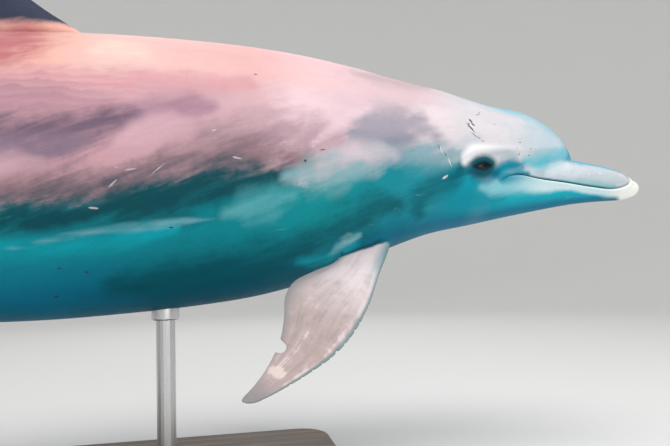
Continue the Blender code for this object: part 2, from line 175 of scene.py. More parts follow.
def section(station, angle):
    # side offset and height of the plain body at a station, the angle being 0 at the back
    nose = quarterRound(station, animal["chinTip"], animal["noseEnd"], animal["noseRoundness"])
    top = smoothCurve(animal["back"], station) * nose
    bottom = smoothCurve(animal["belly"], station) * nose
    side = smoothCurve(animal["flank"], station) * nose
    centre = midHeight(station, top, bottom)

    slimming = ease(station, animal["keelStart"], animal["keelEnd"])
    flesh = 1 - (1 - animal["keelFlesh"]) * slimming
    trunk = ellipseReach(centre, top * flesh, bottom * flesh, side, angle)
    keel = ellipseReach(centre, top, bottom, side * (1 - (1 - animal["keelWidth"]) * slimming), angle)
    radius = np.where(station > animal["keelStart"], joined(trunk, keel, animal["keelBlend"]), trunk)

    rise = quarterRound(station, melon["front"], melon["crest"], melon["roundness"])
    crown = melon["rootTop"] + (smoothCurve(melon["top"], station) - melon["rootTop"]) * rise
    cheek = melon["rootSide"] + (smoothCurve(melon["side"], station) - melon["rootSide"]) * rise
    dome = ellipseReach(centre, crown, melon["underside"], cheek, angle)
    dome = dome - melon["sink"] * ease(station, melon["sinkStart"], melon["end"])
    fillet = melon["fillet"][0] + melon["fillet"][1] * ease(station, *melon["filletGrowth"])
    onMelon = (station > melon["front"]) & (station < melon["end"])
    radius = np.where(onMelon, joined(radius, dome, fillet), radius)
    return radius * np.sin(angle), centre + radius * np.cos(angle)


def bentMidline():
    # stations along the midline with their places from the shoulder, headings and slopes
    stations = np.linspace(2 * animal["chinTip"], animal["midlineEnd"], animal["midlineSteps"])
    ahead = np.clip((animal["shoulder"] - stations) / animal["bendReach"], 0, 1)
    behind = np.clip((stations - animal["shoulder"]) / animal["shoulder"], 0, animal["tailBendEnd"])
    heading = np.radians(animal["neckTurn"] * ahead + animal["tailTurn"] * behind)
    slope = np.radians(animal["snoutDrop"] * ahead + animal["tailDrop"] * behind)
    course = np.stack(
        [-np.cos(heading) * np.cos(slope), -np.sin(heading) * np.cos(slope), np.sin(slope)], axis=1
    )
    steps = (course[1:] + course[:-1]) / 2 * (stations[1] - stations[0])
    places = np.concatenate([np.zeros((1, 3)), np.cumsum(steps, axis=0)])
    shoulder = [np.interp(animal["shoulder"], stations, places[:, axis]) for axis in range(3)]
    return stations, places - shoulder, heading, slope


midStations, midPlaces, midHeadings, midSlopes = bentMidline()


def crossAxes(station):
    # centre, course backwards, left and up at each station
    heading = np.interp(station, midStations, midHeadings)
    slope = np.interp(station, midStations, midSlopes)
    centre = np.stack([np.interp(station, midStations, midPlaces[:, axis]) for axis in range(3)], axis=-1)
    level = np.stack([np.cos(heading), np.sin(heading), np.zeros_like(heading)], axis=-1)
    upright = np.array((0.0, 0.0, 1.0))
    course = -level * np.cos(slope)[..., None] + upright * np.sin(slope)[..., None]
    left = np.stack([-np.sin(heading), np.cos(heading), np.zeros_like(heading)], axis=-1)
    up = level * np.sin(slope)[..., None] + upright * np.cos(slope)[..., None]
    return centre, course, left, up


def place(station, side, height):
    # points of the bent animal, as shares of its length from the shoulder
    centre, _, left, up = crossAxes(np.asarray(station, float))
    return centre + left * np.asarray(side)[..., None] + up * np.asarray(height)[..., None]


rodPlaces = [place(station, 0.0, 0.0) * animal["length"] for station in animal["rods"]]
standCentre = (rodPlaces[0] + rodPlaces[1]) / 2
shoulderPoint = np.array((-standCentre[0], -standCentre[1], animal["shoulderHeight"]))


def inRow(points):
    # shares from the shoulder as metres in the row's frame
    return np.asarray(points) * animal["length"] + shoulderPoint


def straightened(points):
    # station, side and height of points of the finished model, all as shares
    points = (points - shoulderPoint) / animal["length"]
    station = np.interp(-points[:, 0], -midPlaces[:, 0], midStations)
    for _ in range(5):  # each pass comes closer to the true station
        centre, course, left, up = crossAxes(station)
        station = station + np.sum((points - centre) * course, axis=1)
    centre, course, left, up = crossAxes(station)
    side = np.sum((points - centre) * left, axis=1)
    height = np.sum((points - centre) * up, axis=1)
    return station, side, height


def angleOf(station, side, height):
    # degrees round from the back, the same on both sides
    top = smoothCurve(animal["back"], station)
    bottom = smoothCurve(animal["belly"], station)
    return np.degrees(np.arctan2(np.abs(side), height - midHeight(station, top, bottom)))


def gapAlong(points, line):
    # distance from a line of points, which side of it (2D) and the share of the way along it
    nearest = np.full(len(points), np.inf)
    signed = np.full(len(points), np.inf)
    share = np.zeros(len(points))
    for i, (start, end) in enumerate(zip(line, line[1:])):
        along = end - start
        offset = points - start
        t = np.clip(offset @ along / (along @ along), 0, 1)
        rest = offset - t[:, None] * along
        gap = np.linalg.norm(rest, axis=1)
        closer = gap < nearest
        nearest = np.where(closer, gap, nearest)
        share = np.where(closer, (i + t) / (len(line) - 1), share)
        if points.shape[1] == 2:
            turn = along[0] * offset[:, 1] - along[1] * offset[:, 0]
            signed = np.where(closer, gap * np.sign(turn), signed)
    return nearest, signed, share


def drawnLine(keys, count):
    # a smooth line through keys of two or three numbers
    keys = np.asarray(keys, float)
    knots = np.linspace(0, 1, len(keys))
    steps = np.linspace(0, 1, count)
    columns = [smoothCurve(list(zip(knots, column)), steps) for column in keys.T]
    return np.stack(columns, axis=1)


def skinLine(keys, count=40):
    # a smooth line on the left side of the plain body through keys of (station, degrees), in metres
    stations, angles = drawnLine(keys, count).T
    side, height = section(stations, np.radians(angles))
    return np.stack([stations, side, height], axis=1) * animal["length"]


def unbent(station, side, height):
    # points of the unbent animal in metres, both sides folded onto the left
    return np.stack([station, np.abs(side), height], axis=1) * animal["length"]


# Mouth: the line in side view runs from the corner forward and up over the tip of the upper jaw
mouth = dict(
    line=(
        (0.1235, -0.0062), (0.1195, -0.0038), (0.1150, -0.0022), (0.1050, -0.0009), (0.0900, -0.0018),
        (0.0650, -0.0019), (0.0400, -0.0030), (0.0260, -0.0034), (0.0170, -0.0025), (0.0095, 0.0000),
        (0.0055, 0.0030), (0.0032, 0.0085), (0.0025, 0.0300),
    ),
    linePoints=90,
    corner=((0.1235, -0.0062), (0.1275, -0.0086), (0.1330, -0.0104), (0.1600, -0.0150)),
    cornerPoints=12,
    end=0.135,
    depth=0.0040,  # metres from here on
    width=0.0013,
    endDepth=0.35,  # share of the depth left at both ends
    cornerFade=(0.0, 0.10),  # fades are shares of the line
    tipFade=(0.95, 0.80),
    lip=0.0007,
    lipPlace=0.0040,
    lipWidth=0.0024,
    lowerStep=0.0022,
    upperStep=0.7,  # share of the lower step
    stepFade=(0.05, 0.35),
    stepSharpness=0.001,
    stepReach=(0.0140, 0.002),
    tipDent=(0.0000, 0.0085),
    tipDepth=0.0034,
    tipReach=0.0085,
    cornerDepth=0.0014,
    cornerWidth=0.0030,
    cornerEnd=(0.35, 0.05),
)


def mouthGap(station, height):
    # distance from the mouth's line, the same with a sign (+ below, also past the corner), share of the way
    line = drawnLine(mouth["line"], mouth["linePoints"]) * animal["length"]
    corner = drawnLine(mouth["corner"][::-1], mouth["cornerPoints"]) * animal["length"]
    points = np.stack([station, height], axis=1) * animal["length"]
    nearest, _, share = gapAlong(points, line)
    _, signed, _ = gapAlong(points, np.concatenate([corner[:-1], line]))
    return nearest, signed, share


def mouthRelief(station, height):
    nearest, signed, share = mouthGap(station, height)
    closing = partly(share, mouth["cornerFade"], mouth["endDepth"])
    closing *= partly(share, mouth["tipFade"], mouth["endDepth"])
    out = -mouth["depth"] * closing * bell(nearest, mouth["width"])
    out += mouth["lip"] * closing * bell(nearest - mouth["lipPlace"], mouth["lipWidth"])
    step = mouth["lowerStep"] * ease(share, *mouth["stepFade"]) * ease(nearest, 0.0, mouth["stepSharpness"])
    step *= np.where(signed > 0, 1.0, -mouth["upperStep"])
    out += step * ease(nearest, *mouth["stepReach"])
    tip = np.hypot(station - mouth["tipDent"][0], height - mouth["tipDent"][1]) * animal["length"]
    out -= mouth["tipDepth"] * bell(tip, mouth["tipReach"])
    points = np.stack([station, height], axis=1) * animal["length"]
    gap, _, share = gapAlong(points, drawnLine(mouth["corner"], mouth["cornerPoints"]) * animal["length"])
    return out - mouth["cornerDepth"] * bell(gap, mouth["cornerWidth"]) * ease(share, *mouth["cornerEnd"])


# Eye: sizes in metres, fades in shares of the swelling's reach
eye = dict(
    station=0.1415,
    height=0.0015,
    slitHeight=0.0017,
    ball=(0.017, 0.010, 0.0115),
    ballDepth=0.0065,
    slit=(0.0128, 0.0034),
    slitEnd=0.02,
    tilt=7.0,  # degrees, front end up
    cheekEnd=0.2,
    cheekReach=45,  # degrees up and down from the side
    bulge=0.0036,
    bulgeReach=(0.026, 0.0175),
    bulgeFade=(1.0, 0.30),
    lowerLid=0.0016,
    lowerLidDrop=0.0075,
    lowerLidReach=(0.016, 0.0045),
    rim=0.0007,
    rimPlace=0.0016,
    rimWidth=0.0011,
    rimFade=(1.1, 0.75),
    foldPlace=0.0066,
    foldDepth=0.0010,
    foldWidth=0.0011,
    lowerFold=0.6,  # share of the upper fold
    outerFoldPlace=0.01122,
    outerFoldDepth=0.0005,
    outerFoldWidth=0.0014,
    outerFoldFade=(1.3, 0.9),
    openDepth=0.0090,
    openEdge=(0.0006, -0.0016),
    openFade=(0.9, 0.7),
    sectionPoints=181,
)


def slitGap(station, height):
    # places along and across the eye, and how far they lie outside its open slit, below 0 inside it
    turn = math.radians(eye["tilt"])
    back = (station - eye["station"]) * animal["length"]
    rise = (height - eye["slitHeight"]) * animal["length"]
    along = back * math.cos(turn) - rise * math.sin(turn)
    across = back * math.sin(turn) + rise * math.cos(turn)
    half = eye["slit"][1] * (1 - (along / eye["slit"][0]) ** 2)
    return along, across, np.abs(across) - np.maximum(half, -eye["slitEnd"])


def eyeRing(along, across):
    # 1 at the edge of the swelling round the eye
    return np.hypot(along / eye["bulgeReach"][0], across / eye["bulgeReach"][1])


def eyeRelief(station, height):
    along, across, gap = slitGap(station, height)
    ring = eyeRing(along, across)
    out = eye["bulge"] * ease(ring, *eye["bulgeFade"])
    lidLength, lidWidth = eye["lowerLidReach"]
    out += eye["lowerLid"] * bell(across + eye["lowerLidDrop"], lidWidth) * bell(along, lidLength)
    onLids = ease(ring, *eye["rimFade"])
    out += eye["rim"] * bell(gap - eye["rimPlace"], eye["rimWidth"]) * onLids
    fold = eye["foldDepth"] * np.where(across > 0, 1.0, eye["lowerFold"])
    out -= fold * bell(gap - eye["foldPlace"], eye["foldWidth"]) * onLids
    outer = eye["outerFoldDepth"] * bell(gap - eye["outerFoldPlace"], eye["outerFoldWidth"])
    out -= outer * ease(ring, *eye["outerFoldFade"])
    return out - eye["openDepth"] * ease(gap, *eye["openEdge"]) * ease(ring, *eye["openFade"])


# Folds of the skin: lines are keys of (station, degrees from the back), fades are shares of the line
brow = dict(
    line=(
        (0.1562, 87.5), (0.1543, 83.0), (0.1503, 78.6), (0.1435, 75.8), (0.1263, 70.8), (0.1035, 64.4),
        (0.0707, 45.0),
    ),
    rise=0.0034,
    width=0.0060,
    rearFade=(-0.05, 0.30),
    frontFade=(1.0, 0.45),
    frontRise=0.25,  # share of the rise left in front
    hollowDepth=0.0022,
    hollowAngles=((0, 12), (30, 14)),  # degrees below the brow
    hollowStations=((0.075, 0.095), (0.134, 0.125)),
)

crease = dict(
    line=((0.0545, 20.0), (0.0627, 53.0), (0.0695, 58.5), (0.0863, 74.0), (0.1055, 86.5), (0.1267, 91.0)),
    depth=0.0018,
    width=0.0042,
    frontFade=(0.0, 0.2),
    rearFade=(1.0, 0.6),
    rearDepth=0.4,  # share of the depth left behind
)

ear = dict(
    place=(0.1705, 102.0),
    depth=0.0022,
    width=0.0016,
    rim=0.00077,
    rimPlace=0.00384,
    detailTurn=0.0009,  # how far a degree counts when the mesh is refined, as a share of the length
)

blowhole = dict(
    station=0.1490,
    half=0.021,
    bow=0.010,
    depth=0.0045,
    width=0.0015,
    endFade=(1.15, 0.85),  # shares of its half length
    topFade=(45, 30),  # degrees
    topAngle=40,
    plug=0.0022,
    plugPlace=-0.014,
    plugWidth=0.012,
    lip=0.00088,
    lipPlace=0.005,
    lipWidth=0.004,
    lipReach=1.1,
)

throat = dict(
    line=((0.168, 96.0), (0.182, 113.5), (0.204, 128.5), (0.255, 144.5)),
    depth=0.0030,
    width=0.022,
    frontFade=(0.0, 0.3),
    rearDepth=0.5,
)

flankGroove = dict(
    line=((0.300, 62.0), (0.340, 67.0), (0.375, 72.0), (0.428, 78.5), (0.500, 86.0), (0.600, 90.0)),
    depth=0.0022,
    width=0.014,
)

# The belly's navel and slits: each slit runs from a station to another, at a share off the middle
underside = dict(
    angles=(140, 160),
    navelStation=0.462,
    navelDepth=0.0016,
    navelWidth=0.005,
    slits=((0.635, 0.672, 0.0), (0.655, 0.668, 0.0075), (0.688, 0.697, 0.0)),
    slitDepth=0.0030,
    slitWidth=0.0016,
    slitRim=0.00075,
    slitRimPlace=0.006,
    slitRimWidth=0.004,
)


def browRelief(points, station, angle):
    nearest, _, share = gapAlong(points, skinLine(brow["line"]))
    strength = ease(share, *brow["rearFade"]) * partly(share, brow["frontFade"], brow["frontRise"])
    below = between(angle - smoothCurve(brow["line"], station), *brow["hollowAngles"])
    hollow = brow["hollowDepth"] * below * between(station, *brow["hollowStations"])
    return brow["rise"] * strength * bell(nearest, brow["width"]) - hollow


def creaseRelief(points):
    nearest, _, share = gapAlong(points, skinLine(crease["line"]))
    strength = ease(share, *crease["frontFade"]) * partly(share, crease["rearFade"], crease["rearDepth"])
    return -crease["depth"] * strength * bell(nearest, crease["width"])


def earRelief(points):
    spot = skinLine((ear["place"], ear["place"]), 1)
    gap = np.linalg.norm(points - spot, axis=1)
    return ear["rim"] * bell(gap - ear["rimPlace"], ear["width"]) - ear["depth"] * bell(gap, ear["width"])


def behindBlowhole(station, side):
    # metres behind the bowed slit, and the share of its half length from the middle
    across = side * animal["length"] / blowhole["half"]
    bow = blowhole["station"] * animal["length"] - blowhole["bow"] * across**2
    return station * animal["length"] - bow, across


def blowholeRelief(station, side, angle):
    behind, across = behindBlowhole(station, side)
    slit = blowhole["depth"] * ease(np.abs(across), *blowhole["endFade"]) * bell(behind, blowhole["width"])
    plug = blowhole["plug"] * bell(behind - blowhole["plugPlace"], blowhole["plugWidth"])
    lip = blowhole["lip"] * bell(behind - blowhole["lipPlace"], blowhole["lipWidth"])
    out = plug * bell(across, 1.0) + lip * bell(across, blowhole["lipReach"]) - slit
    return out * ease(angle, *blowhole["topFade"])


def grooveRelief(points):
    nearest, _, share = gapAlong(points, skinLine(throat["line"]))
    out = -throat["depth"] * bell(nearest, throat["width"]) * ease(share, *throat["frontFade"])
    out *= 1 - throat["rearDepth"] * share
    nearest, _, share = gapAlong(points, skinLine(flankGroove["line"]))
    return out - flankGroove["depth"] * bell(nearest, flankGroove["width"]) * np.sin(math.pi * share)


def slitPlaces(station, side):
    # distance from each slit of the belly
    for start, end, offset in underside["slits"]:
        past = np.maximum(np.maximum(start - station, station - end), 0)
        yield np.hypot(past, np.abs(side) - offset) * animal["length"]


def undersideRelief(station, side, angle):
    navel = np.hypot((station - underside["navelStation"]) / 2, side) * animal["length"]
    out = -underside["navelDepth"] * bell(navel, underside["navelWidth"])
    for gap in slitPlaces(station, side):
        out -= underside["slitDepth"] * bell(gap, underside["slitWidth"])
        out += underside["slitRim"] * bell(gap - underside["slitRimPlace"], underside["slitRimWidth"])
    return out * ease(angle, *underside["angles"])


def relief(station, side, height):
    # how far the skin stands out from the plain body, in metres
    angle = angleOf(station, side, height)
    points = unbent(station, side, height)
    out = browRelief(points, station, angle) + creaseRelief(points) + earRelief(points)
    out += grooveRelief(points) + blowholeRelief(station, side, angle)
    out += undersideRelief(station, side, angle)
    pick = onCheek(station, angle)
    out[pick] += eyeRelief(station[pick], height[pick])
    pick = station < mouth["end"]
    out[pick] += mouthRelief(station[pick], height[pick])
    return out


def onCheek(station, angle):
    # the side of the head, where the eye lies
    return (station < eye["cheekEnd"]) & (np.abs(angle - 90) < eye["cheekReach"])


# Mesh of the body: stations and metres; each pair is for the first and the second round of refining
skinMesh = dict(
    around=136,
    noseRows=26,
    merge=2e-5,
    spacing=(
        (0.012, 0.0011), (0.05, 0.0012), (0.17, 0.0013), (0.22, 0.0024), (0.50, 0.0029), (0.66, 0.0036),
        (0.86, 0.0050), (0.99, 0.0050),
    ),
    nearMouth=(0.0100, 0.0042),
    nearEye=(1.25, 0.95),  # shares of the swelling's reach
    nearBlowhole=(0.016, 0.006),
    nearBlowholeSide=0.028,
    nearSlit=(0.020, 0.009),
    nearEar=(0.010, 0.007),
    nearCrease=(0.009, 0.0),
    nearBrow=(0.011, 0.0),
    browEnd=0.17,
    mouthAngle=20,  # degrees from the back, where the mouth and the slits can lie
    slitAngle=150,
)


def bodyStations():
    nose = np.linspace(0, math.pi / 2, skinMesh["noseRows"])
    rows = list(animal["chinTip"] + (animal["noseEnd"] - animal["chinTip"]) * (1 - np.cos(nose)))
    while rows[-1] < animal["tailEnd"]:
        rows.append(rows[-1] + float(smoothCurve(skinMesh["spacing"], rows[-1])))
    rows[-1] = animal["tailEnd"]
    return np.array(rows)


def gridShares(mesh):
    # each vertex of a flat grid as two numbers from 0 to 1
    return (np.array([vert.co[:2] for vert in mesh.verts]) + 0.5).T


def plainPlaces(mesh, stations):
    # station, side, height and normal of the plain body for every vertex of the flat grid
    row, turn = gridShares(mesh)
    station = np.interp(row, np.linspace(0, 1, len(stations)), stations)
    angle = turn * 2 * math.pi + math.pi
    closing = quarterRound(-station, -animal["tailEnd"], animal["tailRound"] - animal["tailEnd"], 2.0)

    def at(station, angle):
        side, height = section(station, angle)
        return np.stack([station, side, height], axis=1)

    here = at(station, angle)
    nudge = 2e-4
    turned = 2e-3  # radians
    alongBack = at(station + nudge, angle) - at(station - nudge, angle)
    around = at(station, angle + turned) - at(station, angle - turned)
    normal = np.cross(alongBack, around)
    normal /= np.maximum(np.linalg.norm(normal, axis=1), 1e-12)[:, None]
    here[:, 1:] *= closing[:, None]
    return here, normal


def needsDetail(here, level):
    # which vertices lie where the skin has fine folds
    station, side, height = here.T
    angle = angleOf(station, side, height)
    length = animal["length"]
    points = unbent(station, side, height)
    need = np.zeros(len(station), bool)
    head = (station < mouth["end"]) & (angle > skinMesh["mouthAngle"])
    need[head] |= mouthGap(station[head], height[head])[0] < skinMesh["nearMouth"][level]
    along, across, _ = slitGap(station, height)
    need |= (np.abs(angle - 90) < eye["cheekReach"]) & (eyeRing(along, across) < skinMesh["nearEye"][level])
    behind, _ = behindBlowhole(station, side)
    onTop = (angle < blowhole["topAngle"]) & (np.abs(side) * length < skinMesh["nearBlowholeSide"])
    need |= onTop & (np.abs(behind) < skinMesh["nearBlowhole"][level])
    need |= gapAlong(points, skinLine(crease["line"]))[0] < skinMesh["nearCrease"][level]
    nearBrow = gapAlong(points, skinLine(brow["line"]))[0] < skinMesh["nearBrow"][level]
    need |= (station < skinMesh["browEnd"]) & nearBrow
    for gap in slitPlaces(station, side):
        need |= (angle > skinMesh["slitAngle"]) & (gap < skinMesh["nearSlit"][level])
    earStation, earAngle = ear["place"]
    gap = np.hypot(station - earStation, (angle - earAngle) * ear["detailTurn"]) * length
    return need | (gap < skinMesh["nearEar"][level])


def shaped(mesh, points):
    # moves a grid's vertices to their points and closes it
    for vert, point in zip(mesh.verts, points):
        vert.co = point
    bmesh.ops.remove_doubles(mesh, verts=mesh.verts, dist=skinMesh["merge"])
    bmesh.ops.holes_fill(mesh, edges=[e for e in mesh.edges if e.is_boundary], sides=0)
    bmesh.ops.recalc_face_normals(mesh, faces=mesh.faces)
    return mesh


def bodySkin():
    stations = bodyStations()
    mesh = bmesh.new()
    bmesh.ops.create_grid(mesh, x_segments=len(stations) - 1, y_segments=skinMesh["around"], size=0.5)
    for level in range(2):
        here, _ = plainPlaces(mesh, stations)
        need = needsDetail(here, level)
        mesh.verts.index_update()
        edges = [e for e in mesh.edges if need[e.verts[0].index] and need[e.verts[1].index]]
        bmesh.ops.subdivide_edges(mesh, edges=edges, cuts=1, use_grid_fill=True)
    here, normal = plainPlaces(mesh, stations)
    here += normal * relief(*here.T)[:, None] / animal["length"]
    return shaped(mesh, inRow(place(*here.T)))


# Fins: edges are (share of the span, offset as a share of the span), and a source numbers a fin's own faces
flipper = dict(
    span=0.170,
    root=(0.205, 158.0),
    front=(
        (-0.06, 0.030), (0.00, 0.000), (0.20, -0.060), (0.38, -0.113), (0.55, -0.135), (0.66, -0.128),
        (0.76, -0.105), (0.87, -0.073), (0.94, -0.048), (0.975, -0.032), (1.00, -0.010),
    ),
    rear=(
        (-0.06, 0.100), (0.20, 0.112), (0.29, 0.113), (0.38, 0.145), (0.50, 0.171), (0.57, 0.150),
        (0.64, 0.101), (0.72, 0.056), (0.82, 0.024), (0.92, 0.009), (1.00, 0.009),
    ),
    thickness=((-0.06, 0.085), (0.04, 0.074), (0.20, 0.060), (0.50, 0.036), (0.80, 0.020), (1.00, 0.009)),
    rightAxes=((-0.662, -0.524, -0.536), (-0.735, 0.318, 0.598)),
    leftAxes=((-0.700, 0.680, -0.220), (-0.700, -0.600, 0.380)),
    start=-0.06,
    rows=150,
    around=52,
    fillet=0.016,
    source=1,
    # edge, share of the span, radius and depth as shares of the span
    nicks=(
        ("rear", 0.752, 0.0265, 0.0310), ("front", 0.498, 0.006, 0.006), ("front", 0.625, 0.011, 0.006),
        ("front", 0.70, 0.006, 0.004), ("front", 0.36, 0.008, 0.0025), ("front", 0.415, 0.006, 0.0020),
        ("front", 0.455, 0.009, 0.0030), ("front", 0.540, 0.006, 0.0025), ("front", 0.575, 0.008, 0.0030),
        ("front", 0.660, 0.006, 0.0025), ("front", 0.745, 0.008, 0.0030), ("front", 0.795, 0.007, 0.0020),
        ("front", 0.845, 0.008, 0.0022),
    ),
)

dorsalFin = dict(
    span=0.100,
    base=0.0900,
    front=(
        (-0.25, 3.66), (0.00, 3.93), (0.12, 4.18), (0.22, 4.35), (0.40, 4.59), (0.65, 4.84), (0.85, 5.12),
        (1.00, 5.46),
    ),
    rear=(
        (-0.25, 6.00), (0.00, 5.86), (0.10, 5.70), (0.30, 5.52), (0.55, 5.44), (0.80, 5.46), (1.00, 5.54),
    ),
    thickness=((-0.25, 0.280), (0.10, 0.180), (0.50, 0.110), (1.00, 0.030)),
    start=-0.20,
    rows=56,
    around=48,
    fillet=0.034,
    source=2,
)

flukes = dict(
    span=0.1225,
    front=(
        (-0.05, 7.46), (0.00, 7.48), (0.15, 7.60), (0.40, 7.76), (0.65, 7.93), (0.85, 8.11), (0.95, 8.23),
        (1.00, 8.32),
    ),
    rear=(
        (-0.05, 8.10), (0.00, 8.10), (0.08, 8.19), (0.25, 8.26), (0.50, 8.24), (0.75, 8.25), (0.90, 8.30),
        (1.00, 8.36),
    ),
    thickness=((-0.05, 0.170), (0.00, 0.170), (0.30, 0.110), (0.70, 0.055), (1.00, 0.020)),
    start=-0.03,
    rows=60,
    around=44,
    fillet=0.030,
    source=3,
)

bladeShape = dict(
    cuts=600,
    crowding=6,  # how much closer the rows stand at a nick
    crowdingReach=1.2,
    tipCrowding=1.35,
    fullness=2.6,
    edge=0.10,
    edgePower=8,
    tipStart=0.985,
    tipChord=0.3,
)


def finEdge(fin, name, cut, nicks):
    # the offset of one edge, with the nicks taken out of it as round bites
    inward = 1 if name == "front" else -1
    offset = smoothCurve(fin[name], cut)
    for edge, centre, radius, depth in nicks:
        if edge == name:
            bite = np.sqrt(np.maximum(radius**2 - (cut - centre) ** 2, 0))
            bitten = inward * smoothCurve(fin[name], centre) + depth - radius + bite
            offset = np.where(bite > 0, inward * np.maximum(inward * offset, bitten), offset)
    return offset


def blade(fin, nicks=()):
    # a fin's grid, with its spans, chords and half thicknesses as shares of the animal's length
    mesh = bmesh.new()
    bmesh.ops.create_grid(mesh, x_segments=fin["rows"], y_segments=fin["around"], size=0.5)
    row, turn = gridShares(mesh)
    even = np.linspace(0, 1, bladeShape["cuts"])
    reach = fin["start"] + (1 - fin["start"]) * (1 - (1 - even) ** bladeShape["tipCrowding"])
    density = np.ones_like(reach)
    for _, centre, radius, _ in nicks:
        density += bladeShape["crowding"] * bell(reach - centre, bladeShape["crowdingReach"] * radius)
    passed = np.cumsum(density)
    cut = np.interp(row, (passed - passed[0]) / (passed[-1] - passed[0]), reach)

    turn = turn * 2 * math.pi
    t = (1 - np.cos(turn)) / 2
    half = bladeShape["fullness"] * np.sqrt(t) * (1 - t)
    half += bladeShape["edge"] * np.sqrt(np.maximum(1 - (2 * t - 1) ** bladeShape["edgePower"], 0))
    tip = quarterRound(-cut, -1.0, -bladeShape["tipStart"], 2.0)
    half *= smoothCurve(fin["thickness"], cut) / 2 * np.sign(np.sin(turn)) * tip

    front = finEdge(fin, "front", cut, nicks)
    rear = finEdge(fin, "rear", cut, nicks)
    middle = (front + rear) / 2
    narrowing = bladeShape["tipChord"] + (1 - bladeShape["tipChord"]) * tip
    chord = middle + (front + (rear - front) * t - middle) * narrowing
    return mesh, cut * fin["span"], chord * fin["span"], half * fin["span"]


def flipperAxes(axes):
    along, back = (np.array(axis) / np.linalg.norm(axis) for axis in axes)
    back = back - along * np.dot(along, back)
    back = back / np.linalg.norm(back)
    return along, back, np.cross(along, back)


def flipperRoot(left):
    station, angle = flipper["root"]
    side, height = section(np.array(station), math.radians(angle))
    return place(station, left * side, height)


def flipperSkin(left, axes, nicks=()):
    mesh, span, chord, half = blade(flipper, nicks)
    along, back, across = flipperAxes(axes)
    points = flipperRoot(left) + span[:, None] * along + chord[:, None] * back + half[:, None] * across
    return shaped(mesh, inRow(points))


def dorsalSkin():
    mesh, span, chord, half = blade(dorsalFin)
    return shaped(mesh, inRow(place(chord, half, dorsalFin["base"] + span)))


def flukeSkin(left):
    mesh, span, chord, half = blade(flukes)
    return shaped(mesh, inRow(place(chord, left * span, half)))


def objectFrom(name, mesh, source=0):
    # an object made from a bmesh, its faces numbered by what they come from
    for face in mesh.faces:
        face.smooth = True
        face.material_index = source
    data = bpy.data.meshes.new(name)
    mesh.to_mesh(data)
    mesh.free()
    made = bpy.data.objects.new(name, data)
    bpy.context.collection.objects.link(made)
    return made


def unite(target, others):
    for other in others:
        modifier = target.modifiers.new("union", "BOOLEAN")
        modifier.operation = "UNION"
        modifier.solver = "MANIFOLD"
        modifier.material_mode = "INDEX"
        modifier.object = other
        graph = bpy.context.evaluated_depsgraph_get()
        mesh = bpy.data.meshes.new_from_object(target.evaluated_get(graph))
        target.modifiers.remove(modifier)
        target.data = mesh
        bpy.data.objects.remove(other)


def wholeSkin():
    sources = [bpy.data.materials.new(name) for name in ("body", "flippers", "fin", "flukes")]
    right = flipperSkin(-1, flipper["rightAxes"], flipper["nicks"])
    parts = [
        objectFrom("dolphin_skin", bodySkin()),
        objectFrom("flipper_right_part", right, flipper["source"]),
        objectFrom("flipper_left_part", flipperSkin(1, flipper["leftAxes"]), flipper["source"]),
        objectFrom("dorsal_part", dorsalSkin(), dorsalFin["source"]),
        objectFrom("fluke_right_part", flukeSkin(-1), flukes["source"]),
        objectFrom("fluke_left_part", flukeSkin(1), flukes["source"]),
    ]
    for part in parts:
        for source in sources:
            part.data.materials.append(source)
    unite(parts[0], parts[1:])
    return parts[0]


def softenRoots(skin, steps=26):
    # rounds the skin in where the fins leave the body, most at the joint itself
    mesh = bmesh.new()
    mesh.from_mesh(skin.data)
    for fin in (flipper, dorsalFin, flukes):
        both = {0, fin["source"]}
        joint = [vert for vert in mesh.verts if both <= {face.material_index for face in vert.link_faces}]
        tree = kdtree.KDTree(len(joint))
        for i, vert in enumerate(joint):
            tree.insert(vert.co, i)
        tree.balance()
        near = [(tree.find(vert.co)[2], vert) for vert in mesh.verts]
        near = [(gap, vert) for gap, vert in near if gap < fin["fillet"]]
        for step in range(steps):
            reach = fin["fillet"] * (1 - step / steps)
            moved = [vert for gap, vert in near if gap < reach]
            bmesh.ops.smooth_vert(
                mesh, verts=moved, factor=0.5, use_axis_x=True, use_axis_y=True, use_axis_z=True
            )
    for face in mesh.faces:
        face.material_index = 0
        face.smooth = True
    bmesh.ops.triangulate(mesh, faces=[face for face in mesh.faces if len(face.verts) > 4])
    mesh.to_mesh(skin.data)
    mesh.free()
    skin.data.materials.clear()


